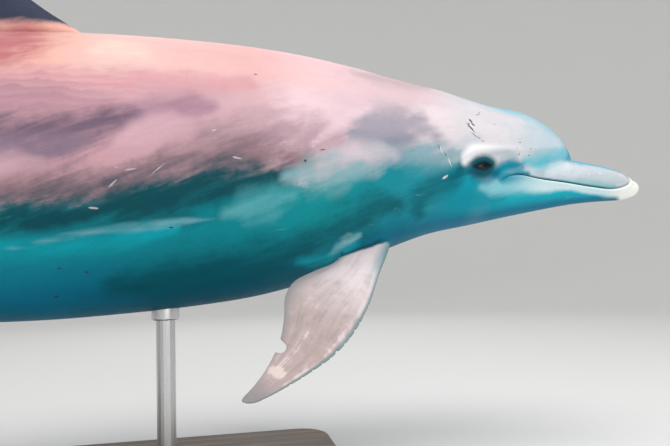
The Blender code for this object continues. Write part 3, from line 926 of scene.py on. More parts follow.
# Marks and the shade edge: keys are (station, degrees from the back), widths are in metres and colours are
# paint. The edge is the line below which the side is painted sea-green as painted shade and painted water
# light; the marks are the skin's own specks and scars.
marksAndShadeEdge = dict(
    edge=(
        (0.00, 98), (0.05, 100), (0.09, 106), (0.125, 98), (0.15, 91), (0.165, 88), (0.18, 88.5),
        (0.20, 90), (0.22, 92), (0.24, 99), (0.26, 102), (0.28, 103), (0.30, 99), (0.33, 100),
        (0.36, 102), (0.39, 106), (0.42, 108), (0.46, 110), (0.60, 104), (0.80, 108), (1.00, 110),
    ),
    markDepth=0.006,
    # paint, station, degrees, half length, half width, lean in degrees, on the right side
    marks=(
        ("speck", 0.434, 136.5, 0.0040, 0.0016, 10), ("speck", 0.418, 139.0, 0.0040, 0.0016, 0),
        ("speck", 0.364, 121.5, 0.0036, 0.0014, 0), ("speck", 0.439, 151.0, 0.0050, 0.0022, 0),
        ("speck", 0.2750, 94.5, 0.0028, 0.0026, 0), ("speck", 0.263, 89.0, 0.0050, 0.0008, 10),
        ("speck", 0.142, 45.0, 0.0016, 0.0014, 0), ("speck", 0.131, 52.0, 0.0022, 0.0012, 0),
        ("speck", 0.1095, 60.0, 0.0022, 0.0014, 0), ("speck", 0.1000, 62.0, 0.0022, 0.0010, 0),
        ("speck", 0.1515, 56.5, 0.0044, 0.0018, -50), ("speck", 0.1497, 59.3, 0.0040, 0.0018, -40),
        ("scar", 0.1508, 60.4, 0.0070, 0.0018, -20), ("speck", 0.1535, 60.5, 0.0040, 0.0012, 70),
        ("scar", 0.1510, 62.5, 0.0110, 0.0022, -42), ("speck", 0.1522, 61.6, 0.0090, 0.0012, -42),
        ("scar", 0.1496, 65.4, 0.0110, 0.0020, -40), ("speck", 0.1503, 63.8, 0.0110, 0.0012, -40),
        ("speck", 0.1490, 66.8, 0.0095, 0.0013, -38), ("speck", 0.1455, 68.0, 0.0055, 0.0012, -30),
        ("speck", 0.1425, 69.5, 0.0045, 0.0009, -20), ("speck", 0.1440, 48.0, 0.0060, 0.0008, 20),
        ("speck", 0.1770, 82.0, 0.0060, 0.0009, -68), ("scar", 0.1752, 83.5, 0.0080, 0.0012, -65),
        ("speck", 0.1718, 86.0, 0.0045, 0.0009, -60), ("scar", 0.1680, 91.0, 0.0095, 0.0011, -62),
        ("scar", 0.1705, 102.5, 0.0055, 0.0022, 35), ("faint", 0.388, 97.0, 0.0090, 0.0014, 8),
        ("faint", 0.396, 96.0, 0.0050, 0.0011, -20), ("faint", 0.3985, 102.5, 0.0100, 0.0014, 42),
        ("faint", 0.411, 112.0, 0.0070, 0.0014, -6), ("faint", 0.3205, 92.5, 0.0080, 0.0016, -12),
        ("faint", 0.371, 97.0, 0.0160, 0.0010, 38), ("faint", 0.335, 80.0, 0.0040, 0.0012, 15),
        ("speck", 0.306, 48.5, 0.0040, 0.0014, 0), ("speck", 0.1130, 67.0, 0.0022, 0.0009, 60),
        ("speck", 0.1105, 71.5, 0.0030, 0.0008, 75), ("speck", 0.1010, 69.0, 0.0020, 0.0010, 20),
        ("scar", 0.0430, 68.0, 0.0040, 0.0016, -20), ("scar", 0.0330, 62.0, 0.0030, 0.0014, 10),
    ),
)

# Airbrushed strokes: paint, how strongly it covers, then lines as a half width and keys. Most of them are
# painted light and painted shade, as noted at each.
strokes = dict(
    # a painted highlight, peach-white, on the back in front of the fin
    peachHighlight=((0.84, 0.64, 0.55), 0.75, (0.036, (0.378, 42), (0.394, 37), (0.408, 40))),
    finShade=(
        (0.50, 0.17, 0.18), 0.95,
        (0.062, (0.456, 4), (0.454, 20), (0.464, 38), (0.520, 34), (0.600, 26)),
    ),
    # painted shade along the top of the nape
    napeTopShade=((0.54, 0.42, 0.44), 0.8, (0.040, (0.180, 27), (0.205, 31), (0.232, 33))),
    salmon=(
        (0.68, 0.34, 0.36), 0.8,
        (0.032, (0.310, 55), (0.345, 56), (0.378, 57), (0.420, 57), (0.470, 56)),
    ),
    rose=((0.47, 0.26, 0.31), 0.9, (0.040, (0.400, 69), (0.440, 67), (0.480, 67), (0.560, 69))),
    # the violet strokes here: painted shade, a dark band down the flank where the light from above gives out
    violetStart=((0.39, 0.22, 0.29), 0.9, (0.030, (0.336, 68), (0.360, 69.5), (0.388, 72))),
    violetShadow=(
        (0.15, 0.105, 0.155), 0.95,
        (0.034, (0.384, 73.5), (0.402, 78), (0.420, 80), (0.440, 80), (0.470, 80.5), (0.560, 82)),
    ),
    violetShade=((0.24, 0.17, 0.235), 0.9, (0.030, (0.412, 85), (0.435, 88), (0.470, 87), (0.560, 88))),
    mauveLight=(
        (0.64, 0.40, 0.46), 0.8,
        (0.030, (0.350, 78), (0.372, 80), (0.392, 85)),
        (0.026, (0.440, 94.5), (0.470, 95), (0.520, 96)),
    ),
    neckMauve=((0.47, 0.31, 0.36), 0.9, (0.048, (0.250, 83), (0.272, 82), (0.300, 80), (0.340, 82))),
    # painted shade, a dark band along the flank below the lit back
    duskShade=(
        (0.26, 0.165, 0.195), 0.97,
        (0.044, (0.276, 95), (0.298, 91), (0.320, 90), (0.342, 92), (0.362, 96), (0.384, 99)),
        (0.034, (0.380, 100), (0.400, 103), (0.420, 104), (0.442, 103), (0.480, 104)),
    ),
    # painted shade, a dark sea-green band just below the edge
    deepShadeBand=(
        (0.003, 0.070, 0.090), 0.97,
        (
            0.050, (0.288, 102), (0.315, 103), (0.345, 105), (0.380, 109), (0.420, 114), (0.460, 116),
            (0.600, 118),
        ),
    ),
    # painted shade: the grey-teal fade from the pale neck into the sea-green side
    neckMist=((0.24, 0.40, 0.46), 0.85, (0.034, (0.158, 84), (0.180, 87), (0.200, 88.5), (0.222, 87))),
    slateNeck=((0.23, 0.25, 0.32), 0.95, (0.038, (0.200, 80), (0.220, 83), (0.240, 80))),
    # painted shade in the hollow behind the head
    napeHollowShade=((0.38, 0.35, 0.41), 0.9, (0.036, (0.180, 74), (0.198, 70), (0.212, 70), (0.238, 74))),
    neckPale=((0.60, 0.57, 0.62), 0.8, (0.032, (0.212, 92), (0.232, 92.5), (0.254, 93))),
    # seaPale to flipperHaze, all but neckPink, lie on the sea-green side, itself painted shade and painted
    # water light, and paint paler and darker streaks of light and shade on it
    seaPale=((0.25, 0.44, 0.48), 0.9, (0.034, (0.236, 99), (0.262, 102), (0.286, 103))),
    seaHaze=((0.10, 0.41, 0.45), 0.9, (0.030, (0.283, 110.5), (0.306, 114), (0.328, 117))),
    neckPink=((0.80, 0.62, 0.67), 0.7, (0.011, (0.270, 86), (0.256, 78), (0.242, 69), (0.226, 62))),
    rearStreak=(
        (0.003, 0.36, 0.44), 0.9,
        (0.022, (0.362, 122), (0.390, 125), (0.415, 126), (0.445, 127), (0.500, 128), (0.700, 134)),
    ),
    rearLine=((0.18, 0.44, 0.52), 0.7, (0.008, (0.335, 118), (0.380, 120.5), (0.420, 122), (0.465, 128))),
    flankShade=(
        (0.002, 0.095, 0.125), 0.9,
        (0.040, (0.204, 126), (0.222, 124), (0.242, 129), (0.262, 134), (0.283, 141), (0.310, 145)),
        (0.060, (0.270, 142), (0.340, 145), (0.400, 148)),
    ),
    cheekShade=(
        (0.002, 0.125, 0.170), 0.95,
        (0.032, (0.158, 94), (0.166, 107), (0.179, 115), (0.188, 124), (0.186, 136)),
    ),
    throatLight=((0.003, 0.28, 0.37), 0.75, (0.030, (0.120, 120), (0.145, 121), (0.165, 125))),
    flipperPatch=((0.36, 0.64, 0.68), 0.9, (0.017, (0.234, 141), (0.244, 144), (0.253, 149))),
    flipperHaze=((0.003, 0.36, 0.45), 0.9, (0.030, (0.236, 147), (0.252, 151), (0.276, 147))),
    cheekPale=((0.28, 0.62, 0.70), 0.9, (0.019, (0.140, 107), (0.125, 108), (0.105, 106), (0.085, 103))),
    # painted shade at the foot of the melon, where it meets the beak
    melonFootShade=((0.003, 0.34, 0.46), 0.95, (0.018, (0.0560, 5), (0.0570, 25), (0.0605, 42), (0.0660, 54))),
    # painted shade in the hollow band between the brow and the crease
    melonCreaseShade=(
        (0.13, 0.51, 0.61), 0.95,
        (0.024, (0.066, 42), (0.071, 54), (0.079, 63), (0.090, 71), (0.104, 77)),
    ),
    # painted shade in front of the eye, above the mouth's corner and under the eye
    eyeFrontShade=((0.003, 0.24, 0.34), 0.97, (0.021, (0.107, 82), (0.117, 84), (0.126, 91), (0.131, 95))),
    mouthCornerShade=((0.004, 0.29, 0.41), 0.95, (0.017, (0.101, 90), (0.116, 93.5), (0.129, 96))),
    underEyeShade=((0.002, 0.14, 0.23), 0.95, (0.021, (0.129, 93), (0.141, 95), (0.152, 95))),
    # painted shade above and below the brow ridge
    aboveBrowShade=((0.58, 0.62, 0.70), 0.7, (0.014, (0.144, 66), (0.154, 71), (0.163, 79))),
    underBrowShade=((0.44, 0.53, 0.59), 0.85, (0.011, (0.113, 73), (0.128, 75), (0.143, 78.5))),
    beakGrey=((0.45, 0.54, 0.57), 0.8, (0.022, (0.008, 80), (0.028, 76), (0.052, 84))),
    # painted shade along the upper jaw just above the mouth line
    upperLipShade=((0.16, 0.53, 0.58), 0.8, (0.009, (0.020, 96), (0.040, 97), (0.060, 95), (0.094, 95))),
    beakPale=((0.74, 0.80, 0.86), 0.8, (0.018, (0.058, 58), (0.066, 68), (0.076, 77), (0.083, 84))),
)


fieldEdge = dict(
    flipper=(0.15, 0.50),  # stations that its field covers
    dorsalFin=(0.36, 0.64),
    flukes=0.90,
    mouth=0.16,
    flipperAngle=90,  # degrees from the back
    finAngle=60,
    chordMargin=0.02,
    # shares of the brow's line, and how far its paint draws in there, in metres
    browEnd=((0.35, 1.0), 0.020),
    browStart=((0.10, 0.0), 0.004),
    away=1.0,  # metres, where a gap isn't worked out
    ringAway=9.0,
    strokePoints=9,
    strokeStart=(0.0, 0.30),  # strokes taper towards both ends
    strokeEnd=(1.0, 0.70),
    strokeTaper=(0.60, 0.60),
)


def faceFields(station, side, height, angle):
    # millimetres from the mouth, the eye's slit, the brow and the blowhole, and shares of the eye's ring
    head = onCheek(station, angle)
    along, across, slit = slitGap(station, height)
    ring = np.where(head, eyeRing(along, across), fieldEdge["ringAway"])
    slit = np.where(head, slit, fieldEdge["away"])
    mouthSide = np.where(station < fieldEdge["mouth"], mouthGap(station, height)[1], fieldEdge["away"])
    browGap, _, share = gapAlong(unbent(station, side, height), skinLine(brow["line"]))
    for shares, drawnIn in (fieldEdge["browEnd"], fieldEdge["browStart"]):
        browGap = browGap + drawnIn * ease(share, *shares)
    behind, across = behindBlowhole(station, side)
    past = np.maximum(np.abs(across) - 1, 0) * blowhole["half"]
    onTop = (angle < blowhole["topAngle"]) & (station < eye["cheekEnd"])
    holeGap = np.where(onTop, np.hypot(behind, past), fieldEdge["away"])
    return mouthSide * 1000, ring, browGap * 1000, slit * 1000, holeGap * 1000


def finFields(points, station, side, height, angle):
    # millimetres that the fins stand out, and shares of the flippers' span and chord
    bodySide, bodyHeight = section(station, np.radians(angle))
    out = (np.hypot(side, height) - np.hypot(bodySide, bodyHeight)) * animal["length"]
    low, high = fieldEdge["flipper"]
    flipperOut = np.where((station > low) & (station < high) & (angle > fieldEdge["flipperAngle"]), out, 0.0)
    flipperSpan = np.zeros(len(station))
    flipperChord = np.zeros(len(station))
    for left, axes in ((-1, flipper["rightAxes"]), (1, flipper["leftAxes"])):
        offset = (points - inRow(flipperRoot(left))) / (flipper["span"] * animal["length"])
        spanAxis, chordAxis, _ = flipperAxes(axes)
        share = offset @ spanAxis
        front = smoothCurve(flipper["front"], share)
        width = smoothCurve(flipper["rear"], share) - front + fieldEdge["chordMargin"]
        flipperSpan = np.where(side * left > 0, share, flipperSpan)
        flipperChord = np.where(side * left > 0, (offset @ chordAxis - front) / width, flipperChord)
    low, high = fieldEdge["dorsalFin"]
    onBack = (station > low) & (station < high) & (angle < fieldEdge["finAngle"])
    finRise = np.where(onBack, height - smoothCurve(animal["back"], station), 0.0) * animal["length"]
    flukeOut = np.where(station > fieldEdge["flukes"], out, 0.0)
    return flipperOut * 1000, flipperSpan, flipperChord, (finRise + flukeOut) * 1000


def strokeField(points, lines):
    # 1 along a stroke's lines and 0 at their edges
    base, growth = fieldEdge["strokeTaper"]
    reach = []
    for width, *keys in lines:
        gap, _, share = gapAlong(points, skinLine(keys, fieldEdge["strokePoints"]))
        taper = base + growth * between(share, fieldEdge["strokeStart"], fieldEdge["strokeEnd"])
        reach.append(1 - gap / (width * taper))
    return np.maximum(np.max(reach, axis=0), -1.0)


def storeFields(skin):
    # what the skin's paint follows, kept on its vertices, three numbers to an attribute
    data = skin.data
    points = np.empty(len(data.vertices) * 3)
    data.vertices.foreach_get("co", points)
    points = points.reshape(-1, 3)
    station, side, height = straightened(points)
    angle = angleOf(station, side, height)
    mouthSide, ring, browGap, slit, holeGap = faceFields(station, side, height, angle)
    flipperOut, flipperSpan, flipperChord, finOut = finFields(points, station, side, height, angle)
    # edge, kept in the folds attribute with the eye's slit and the blowhole, is degrees below the line where
    # the side's painted shade and sea-green water light begins
    edge = angle - smoothCurve(marksAndShadeEdge["edge"], station)
    fields = dict(
        straight=np.stack([station, side, height]) * animal["length"],
        face=(mouthSide, ring, browGap),
        folds=(edge, slit, holeGap),
        flippers=(flipperOut, flipperSpan, flipperChord),
        around=(station, angle, finOut),
    )
    folded = unbent(station, side, height)
    layers = [strokeField(folded, lines) for _, _, *lines in strokes.values()]
    layers += layers[:1] * (-len(layers) % 3)
    for first in range(0, len(layers), 3):
        fields[f"strokes{first // 3}"] = layers[first : first + 3]
    for name, values in fields.items():
        layer = data.attributes.new(name, "FLOAT_VECTOR", "POINT")
        layer.data.foreach_set("vector", np.stack(values, axis=1).astype(np.float32).ravel())


class Wire:
    # one socket of a node tree: arithmetic on it adds Math nodes
    def __init__(self, tree, socket=None):
        self.tree = tree
        self.socket = socket

    def node(self, kind, settings=None, inputs=None, output=0):
        made = self.tree.nodes.new("ShaderNode" + kind)
        for name, value in (settings or {}).items():
            setattr(made, name, value)
        for key, value in (inputs or {}).items():
            if isinstance(value, Wire):
                self.tree.links.new(value.socket, made.inputs[key])
            else:
                made.inputs[key].default_value = value
        return Wire(self.tree, made.outputs[output])

    def maths(self, operation, *values):
        return self.node("Math", dict(operation=operation), dict(enumerate(values)))

    def __add__(self, other):
        return self.maths("ADD", self, other)

    def __radd__(self, other):
        return self.maths("ADD", other, self)

    def __sub__(self, other):
        return self.maths("SUBTRACT", self, other)

    def __rsub__(self, other):
        return self.maths("SUBTRACT", other, self)

    def __mul__(self, other):
        return self.maths("MULTIPLY", self, other)

    def __rmul__(self, other):
        return self.maths("MULTIPLY", other, self)

    def size(self):
        return self.maths("ABSOLUTE", self)

    def rise(self, low, high):
        # 0 at low and 1 at high, eased, either way round
        if low > high:
            return 1 - self.rise(high, low)
        settings = dict(interpolation_type="SMOOTHSTEP", clamp=False)
        return self.node("MapRange", settings, {0: self, 1: low, 2: high, 3: 0.0, 4: 1.0})

    def blend(self, name):
        return self.rise(*blends[name])

    def near(self, centre, reach):
        # 1 at the centre and 0 from the reach on
        return (self - centre).size().rise(reach, 0.0)

    def length(self):
        return self.node("VectorMath", dict(operation="LENGTH"), {0: self}, 1)

    def over(self, colour, mask):
        # this colour with another laid over it where the mask is 1
        if not isinstance(colour, Wire):
            colour = (*colour, 1.0)
        return self.node("Mix", dict(data_type="RGBA"), {0: mask, 6: self, 7: colour}, 2)

    def shade(self, amount):
        # this colour times a number
        return self.node("VectorMath", dict(operation="SCALE"), {0: self, "Scale": amount})

    def turned(self, degrees, scale, centre=(0.0, 0.0, 0.0)):
        # coordinates of this place in axes turned about the side axis, each divided by its scale
        inputs = {"Vector": self, "Location": centre, "Scale": scale}
        inputs["Rotation"] = (0.0, math.radians(degrees), 0.0)
        return self.node("Mapping", dict(vector_type="TEXTURE"), inputs)

    def scaled(self, factors):
        return self.node("VectorMath", dict(operation="MULTIPLY"), {0: self, 1: factors})

    def noise(self, scale, detail=4.0, roughness=0.55, distortion=0.0):
        inputs = {"Vector": self, "Scale": scale, "Detail": detail, "Roughness": roughness}
        inputs["Distortion"] = distortion
        return self.node("TexNoise", None, inputs)

    def parts(self):
        return [self.node("SeparateXYZ", None, {0: self}, axis) for axis in range(3)]

    def field(self, name):
        return self.node("Attribute", dict(attribute_name=name), None, 1)

    def objectPlace(self):
        return self.node("TexCoord", None, None, 3)

    def colour(self, rgb):
        return self.node("Mix", dict(data_type="RGBA"), {0: 0.0, 6: (*rgb, 1.0), 7: (*rgb, 1.0)}, 2)


def newMaterial(name, **fixed):
    # a material with its Principled shader's fixed values set, and a wire to start from
    made = bpy.data.materials.new(name)
    made.use_nodes = True
    shader = made.node_tree.nodes["Principled BSDF"]
    for key, value in fixed.items():
        shader.inputs[key.replace("_", " ")].default_value = value
    return made, shader, Wire(made.node_tree)


def plug(shader, name, wire):
    wire.tree.links.new(wire.socket, shader.inputs[name])


def plugBump(shader, height):
    # height in metres
    bump = height.node("Bump", None, {"Strength": 1.0, "Distance": 1.0, "Height": height})
    plug(shader, "Normal", bump)


paint = dict(
    # back and flank: the back is painted lighter than the flank below it, painted light from above
    back=(
        (0.150, (0.69, 0.66, 0.69)), (0.195, (0.71, 0.53, 0.57)), (0.230, (0.75, 0.54, 0.57)),
        (0.260, (0.84, 0.56, 0.58)), (0.310, (0.80, 0.47, 0.46)), (0.350, (0.81, 0.50, 0.48)),
        (0.400, (0.82, 0.54, 0.49)), (0.440, (0.83, 0.46, 0.39)), (0.500, (0.56, 0.29, 0.29)),
        (0.600, (0.32, 0.22, 0.25)), (0.750, (0.20, 0.17, 0.20)),
    ),
    flank=(
        (0.150, (0.71, 0.68, 0.71)), (0.178, (0.80, 0.69, 0.73)), (0.205, (0.60, 0.48, 0.52)),
        (0.240, (0.74, 0.54, 0.60)), (0.275, (0.82, 0.60, 0.64)), (0.310, (0.65, 0.41, 0.44)),
        (0.350, (0.59, 0.36, 0.41)), (0.420, (0.63, 0.36, 0.41)), (0.500, (0.50, 0.30, 0.35)),
        (0.600, (0.30, 0.21, 0.25)), (0.750, (0.19, 0.16, 0.19)),
    ),
    # side and belly: painted shade and painted sea-green water light, darkest on the belly
    side=(
        (0.150, (0.005, 0.33, 0.43)), (0.180, (0.02, 0.30, 0.37)), (0.210, (0.01, 0.27, 0.33)),
        (0.260, (0.005, 0.28, 0.31)), (0.330, (0.003, 0.25, 0.30)), (0.460, (0.005, 0.28, 0.34)),
        (0.600, (0.04, 0.18, 0.22)), (0.800, (0.06, 0.13, 0.16)),
    ),
    belly=(
        (0.150, (0.003, 0.18, 0.30)), (0.250, (0.003, 0.13, 0.19)), (0.350, (0.003, 0.11, 0.18)),
        (0.460, (0.005, 0.18, 0.30)), (0.700, (0.03, 0.14, 0.20)),
    ),
    melon=(0.53, 0.62, 0.68),
    melonTop=(0.30, 0.60, 0.71),
    beak=(0.62, 0.66, 0.71),
    beakTop=(0.08, 0.47, 0.66),
    beakWarm=(0.74, 0.66, 0.68),
    # jaw: painted shade and painted sea-green water light under the jaw
    jaw=(0.010, 0.46, 0.57),
    lip=(0.68, 0.86, 0.90),
    cream=(0.93, 0.96, 0.90),
    # painted shade in the mouth's groove and in the blowhole
    mouthAndBlowholeShade=(0.010, 0.040, 0.048),
    # eye patch: partly the skin's own dark patch, partly painted shade under the brow
    eyePatchAndShade=(0.005, 0.095, 0.130),
    lid=(0.004, 0.020, 0.032),
    # brow: a painted highlight along the brow ridge
    brow=(0.90, 0.89, 0.92),
    flipper=(0.50, 0.39, 0.38),
    flipperPale=(0.80, 0.70, 0.72),
    flipperGrey=(0.30, 0.275, 0.25),
    # flipperRoot: painted shade at the front corner of the flipper's root
    flipperRoot=(0.14, 0.33, 0.37),
    # painted shade along the flipper's front edge
    flipperEdgeShade=(0.20, 0.30, 0.31),
    # a painted shadow in the crease where the flipper meets the body
    flipperRootShadow=(0.002, 0.045, 0.065),
    flipperDark=(0.25, 0.25, 0.26),
    flipperPatch=(0.76, 0.66, 0.61),
    fin=(0.040, 0.050, 0.085),
    fluke=(0.060, 0.065, 0.090),
    speck=(0.03, 0.03, 0.035),
    faint=(0.60, 0.51, 0.53),
    scar=(0.86, 0.82, 0.84),
)

# Where a paint begins and where it is full, in stations, degrees, millimetres, noise or shares of a flipper
blends = dict(
    flank=(46, 60),
    head=(0.165, 0.120),
    melon=(0.128, 0.085),
    melonTop=(38, 18),
    belly=(122, 152),
    crispSide=(0.22, 0.29),
    sideEdge=(-3, 3),
    sideStart=(0.09, 0.15),
    beakWarm=(0.05, 0.35),
    beakTop=(48, 26),
    beak=(0.070, 0.052),
    jaw=(0.150, 0.125),
    jawEdge=(-0.2, 0.6),
    jawUnder=(114, 152),
    neckWander=(0.13, 0.20),
    neckBlotches=(0.15, 0.25),
    frayed=(0.35, 0.60),
    stroke=(-0.10, 1.0),
    bandNarrows=(0.05, 0.095),
    lipEdge=(-0.2, 0.5),
    lip=(17.0, 9.0),
    lipEnd=(0.125, 0.080),
    tipFront=(0.016, 0.002),
    tip=(0.030, 0.010),
    tipUnder=(165, 120),
    cream=(23.0, 13.0),
    brow=(17.0, 5.0),
    eyePatchAndShade=(1.40, 0.75),
    lid=(8.0, 2.0),
    lidEnd=(1.05, 0.70),
    lineThins=(0.098, 0.122),
    line=(1.9, 0.8),
    lineEnd=(0.1265, 0.1225),
    lineFront=(0.008, 0.030),
    blowhole=(2.2, 1.0),
    flipperPale=(0.62, 0.25),
    flipperStreak=(0.05, 0.35),
    flipperGrey=(0.15, -0.45),
    rootEnd=(0.32, 0.10),
    rootFront=(0.36, 0.04),
    flipperFront=(0.085, 0.02),
    flipperRear=(0.72, 0.96),
    flipperTip=(0.84, 0.98),
    patch=(0.2, 0.6),
    crease=(0.15, 0.40),
    onFlipper=(7.0, 13.0),
    onFin=(14.0, 30.0),
    beforeFlukes=(0.70, 0.65),
    flukes=(0.85, 0.90),
    mark=(1.1, 0.6),
    hair=(0.68, 0.80),
    hairPatches=(0.48, 0.62),
    wrinklesStart=(0.34, 0.44),
    wrinklesEnd=(0.62, 0.50),
)


def skinWires(start):
    # the stored fields and the noises that the skin's paint is made of
    on = SimpleNamespace(start=start)
    on.mouthSide, on.ring, on.browGap = start.field("face").parts()
    on.edge, on.slit, on.holeGap = start.field("folds").parts()
    on.flipperOut, on.span, on.chord = start.field("flippers").parts()
    on.station, on.angle, on.finOut = start.field("around").parts()
    on.straight = start.field("straight")
    on.cloud = on.straight.noise(30.0, 5.0, 0.62)
    on.wisp = on.straight.turned(20.0, (0.16, 0.020, 0.020)).noise(1.0, 5.0, 0.62, 0.3)
    on.blotch = on.straight.noise(9.0, 3.0)
    on.fine = on.straight.noise(260.0, 3.0)
    on.along = on.straight.scaled((2.4, 24.0, 24.0)).noise(1.0, 6.0, 0.64, 0.5)
    on.hair = on.straight.turned(8.0, (0.14, 0.010, 0.010)).noise(1.0, 3.0, 0.6, 0.8)
    on.wander = (on.cloud - 0.5) * 1.5 + (on.wisp - 0.5) * 2.0  # about -0.6 to 0.6
    return on


def bodyPaint(on):
    # back, flank, melon, sea-green side and belly; the back is painted lighter than the flank below it as
    # painted light from above, the flank darkens downwards into painted shade, and the sea-green side and
    # dark blue belly are painted shade and painted water light
    def graded(keys):
        colour = on.start.colour(keys[0][1])
        for (low, _), (high, following) in zip(keys, keys[1:]):
            colour = colour.over(following, (on.station + on.wander * 0.012).rise(low, high))
        return colour

    coat = graded(paint["back"]).over(graded(paint["flank"]), (on.angle + on.wander * 9).blend("flank"))
    onHead = on.station.blend("head")
    coat = coat.over(paint["melon"], onHead * (on.station + on.wander * 0.02).blend("melon"))
    coat = coat.over(paint["melonTop"], onHead * (on.angle + on.wander * 8).blend("melonTop"))
    # the sea-green side and dark blue belly: painted shade and painted sea-green water light, laid below the
    # edge
    side = graded(paint["side"]).over(graded(paint["belly"]), (on.angle + on.wander * 7).blend("belly"))
    crisp = 0.35 + 0.65 * on.station.blend("crispSide")
    onSide = ((on.edge + on.wander * 9) * crisp).blend("sideEdge") * on.station.blend("sideStart")
    return coat.over(side, onSide)


def beakPaint(on, coat):
    beak = on.start.colour(paint["beak"]).over(paint["beakWarm"], on.wander.blend("beakWarm") * 0.7)
    beak = beak.over(paint["beakTop"], (on.angle + on.wander * 10).blend("beakTop"))
    coat = coat.over(beak, on.station.blend("beak"))
    # the jaw's sea-green underside, darkening to the belly's blue beneath, is painted shade and painted
    # water light
    under = on.start.colour(paint["jaw"])
    under = under.over(paint["belly"][0][1], (on.angle + on.wander * 4).blend("jawUnder"))
    return coat.over(under, on.station.blend("jaw") * on.mouthSide.blend("jawEdge"))


def strokePaint(on, coat):
    ragged = on.wander * (0.25 + 0.25 * on.station.blend("neckWander"))
    ragged = ragged + (on.blotch - 0.5) * on.station.blend("neckBlotches") * 0.7
    frayed = 0.82 + 0.22 * on.wisp.blend("frayed")
    for i, (colour, strength, *_) in enumerate(strokes.values()):
        if i % 3 == 0:
            layers = on.start.field(f"strokes{i // 3}").parts()
        coat = coat.over(colour, (layers[i % 3] + ragged).blend("stroke") * frayed * strength)
    return coat


def facePaint(on, coat):
    # lips, the brow's painted highlight, the eye's dark patch, partly painted shade, and painted shade in
    # the mouth line and the blowhole
    band = on.mouthSide * (1 - 0.5 * on.station.blend("bandNarrows")) + (on.cloud - 0.5) * 5.0
    lower = on.mouthSide.blend("lipEdge")
    coat = coat.over(paint["lip"], lower * band.blend("lip") * on.station.blend("lipEnd"))
    tipFront = on.station.blend("tipFront")
    onTip = on.station.blend("tip") * (on.angle - tipFront * 60).blend("tipUnder")
    coat = coat.over(paint["cream"], lower * onTip * (band - tipFront * 18).blend("cream"))
    # a painted highlight along the brow ridge
    coat = coat.over(paint["brow"], (on.browGap + on.wander * 2).blend("brow") * 0.95)
    # the dark patch round the eye, partly the skin's own and partly painted shade under the brow
    coat = coat.over(paint["eyePatchAndShade"], (on.ring + on.wander * 0.25).blend("eyePatchAndShade"))
    coat = coat.over(paint["lid"], on.slit.blend("lid") * on.ring.blend("lidEnd"))
    # painted shade in the mouth's groove, then in the blowhole
    line = (on.mouthSide.size() + 1.1 * on.station.blend("lineThins")).blend("line")
    line = line * on.station.blend("lineEnd") * (0.25 + 0.75 * on.station.blend("lineFront"))
    return coat.over(paint["mouthAndBlowholeShade"], line).over(paint["mouthAndBlowholeShade"], on.holeGap.blend("blowhole"))


def finPaint(on, coat):
    streaks = on.start.field("flippers").scaled((0.0, 2.0, 9.0)).noise(1.0, 4.0, 0.6, 0.3)
    smudge = (streaks - 0.5) * 1.4 + (on.cloud - 0.5) * 1.4
    skin = on.start.colour(paint["flipper"])
    skin = skin.over(paint["flipperPale"], (on.span + smudge * 0.12).blend("flipperPale"))
    skin = skin.over(paint["flipperPale"], smudge.blend("flipperStreak") * 0.7)
    skin = skin.over(paint["flipperGrey"], smudge.blend("flipperGrey") * on.span.near(0.55, 0.50) * 0.8)
    # painted shade at the front corner of the flipper's root
    rootCornerShade = (on.span + smudge * 0.08).blend("rootEnd") * (on.chord + smudge * 0.05).blend("rootFront")
    skin = skin.over(paint["flipperRoot"], rootCornerShade * 0.9)
    # painted shade along the flipper's front edge
    skin = skin.over(paint["flipperEdgeShade"], (on.chord + smudge * 0.05).blend("flipperFront") * 0.85)
    skin = skin.over(paint["flipperDark"], (on.chord + smudge * 0.14).blend("flipperRear") * 0.85)
    skin = skin.over(paint["flipperDark"], (on.span + smudge * 0.05).blend("flipperTip") * 0.8)
    patch = (on.span + smudge * 0.04).near(0.84, 0.045) * (on.chord + smudge * 0.2).near(0.50, 0.42)
    skin = skin.over(paint["flipperPatch"], patch.blend("patch") * 0.8)
    # a painted shadow in the crease where the flipper meets the body
    root = (on.flipperOut + on.wander * 2).near(7.0, 7.0) * on.chord.blend("crease")
    coat = coat.over(paint["flipperRootShadow"], root * 0.75)
    # the body's paint, here its sea-green painted shade, runs 7 to 13 mm up the flipper's root before the
    # flipper's own paint
    coat = coat.over(skin, (on.flipperOut + on.wander * 4).blend("onFlipper"))
    onFin = (on.finOut + on.wander * 7).blend("onFin")
    coat = coat.over(paint["fin"], onFin * on.station.blend("beforeFlukes"))
    return coat.over(paint["fluke"], onFin * on.station.blend("flukes"))


def markPaint(on, coat):
    # specks and scratches on the right side, then fine pale hairlines all over
    length = animal["length"]
    for name, station, degrees, halfLength, halfWidth, lean in marksAndShadeEdge["marks"]:
        side, height = section(np.array(station), math.radians(degrees))
        centre = (station * length, -float(side) * length, float(height) * length)
        gap = on.straight.turned(lean, (halfLength, marksAndShadeEdge["markDepth"], halfWidth), centre).length()
        coat = coat.over(paint[name], (gap + (on.cloud - 0.5) * 2.2).blend("mark") * 0.85)
    return coat.over(paint["scar"], on.hair.blend("hair") * on.blotch.blend("hairPatches") * 0.35)


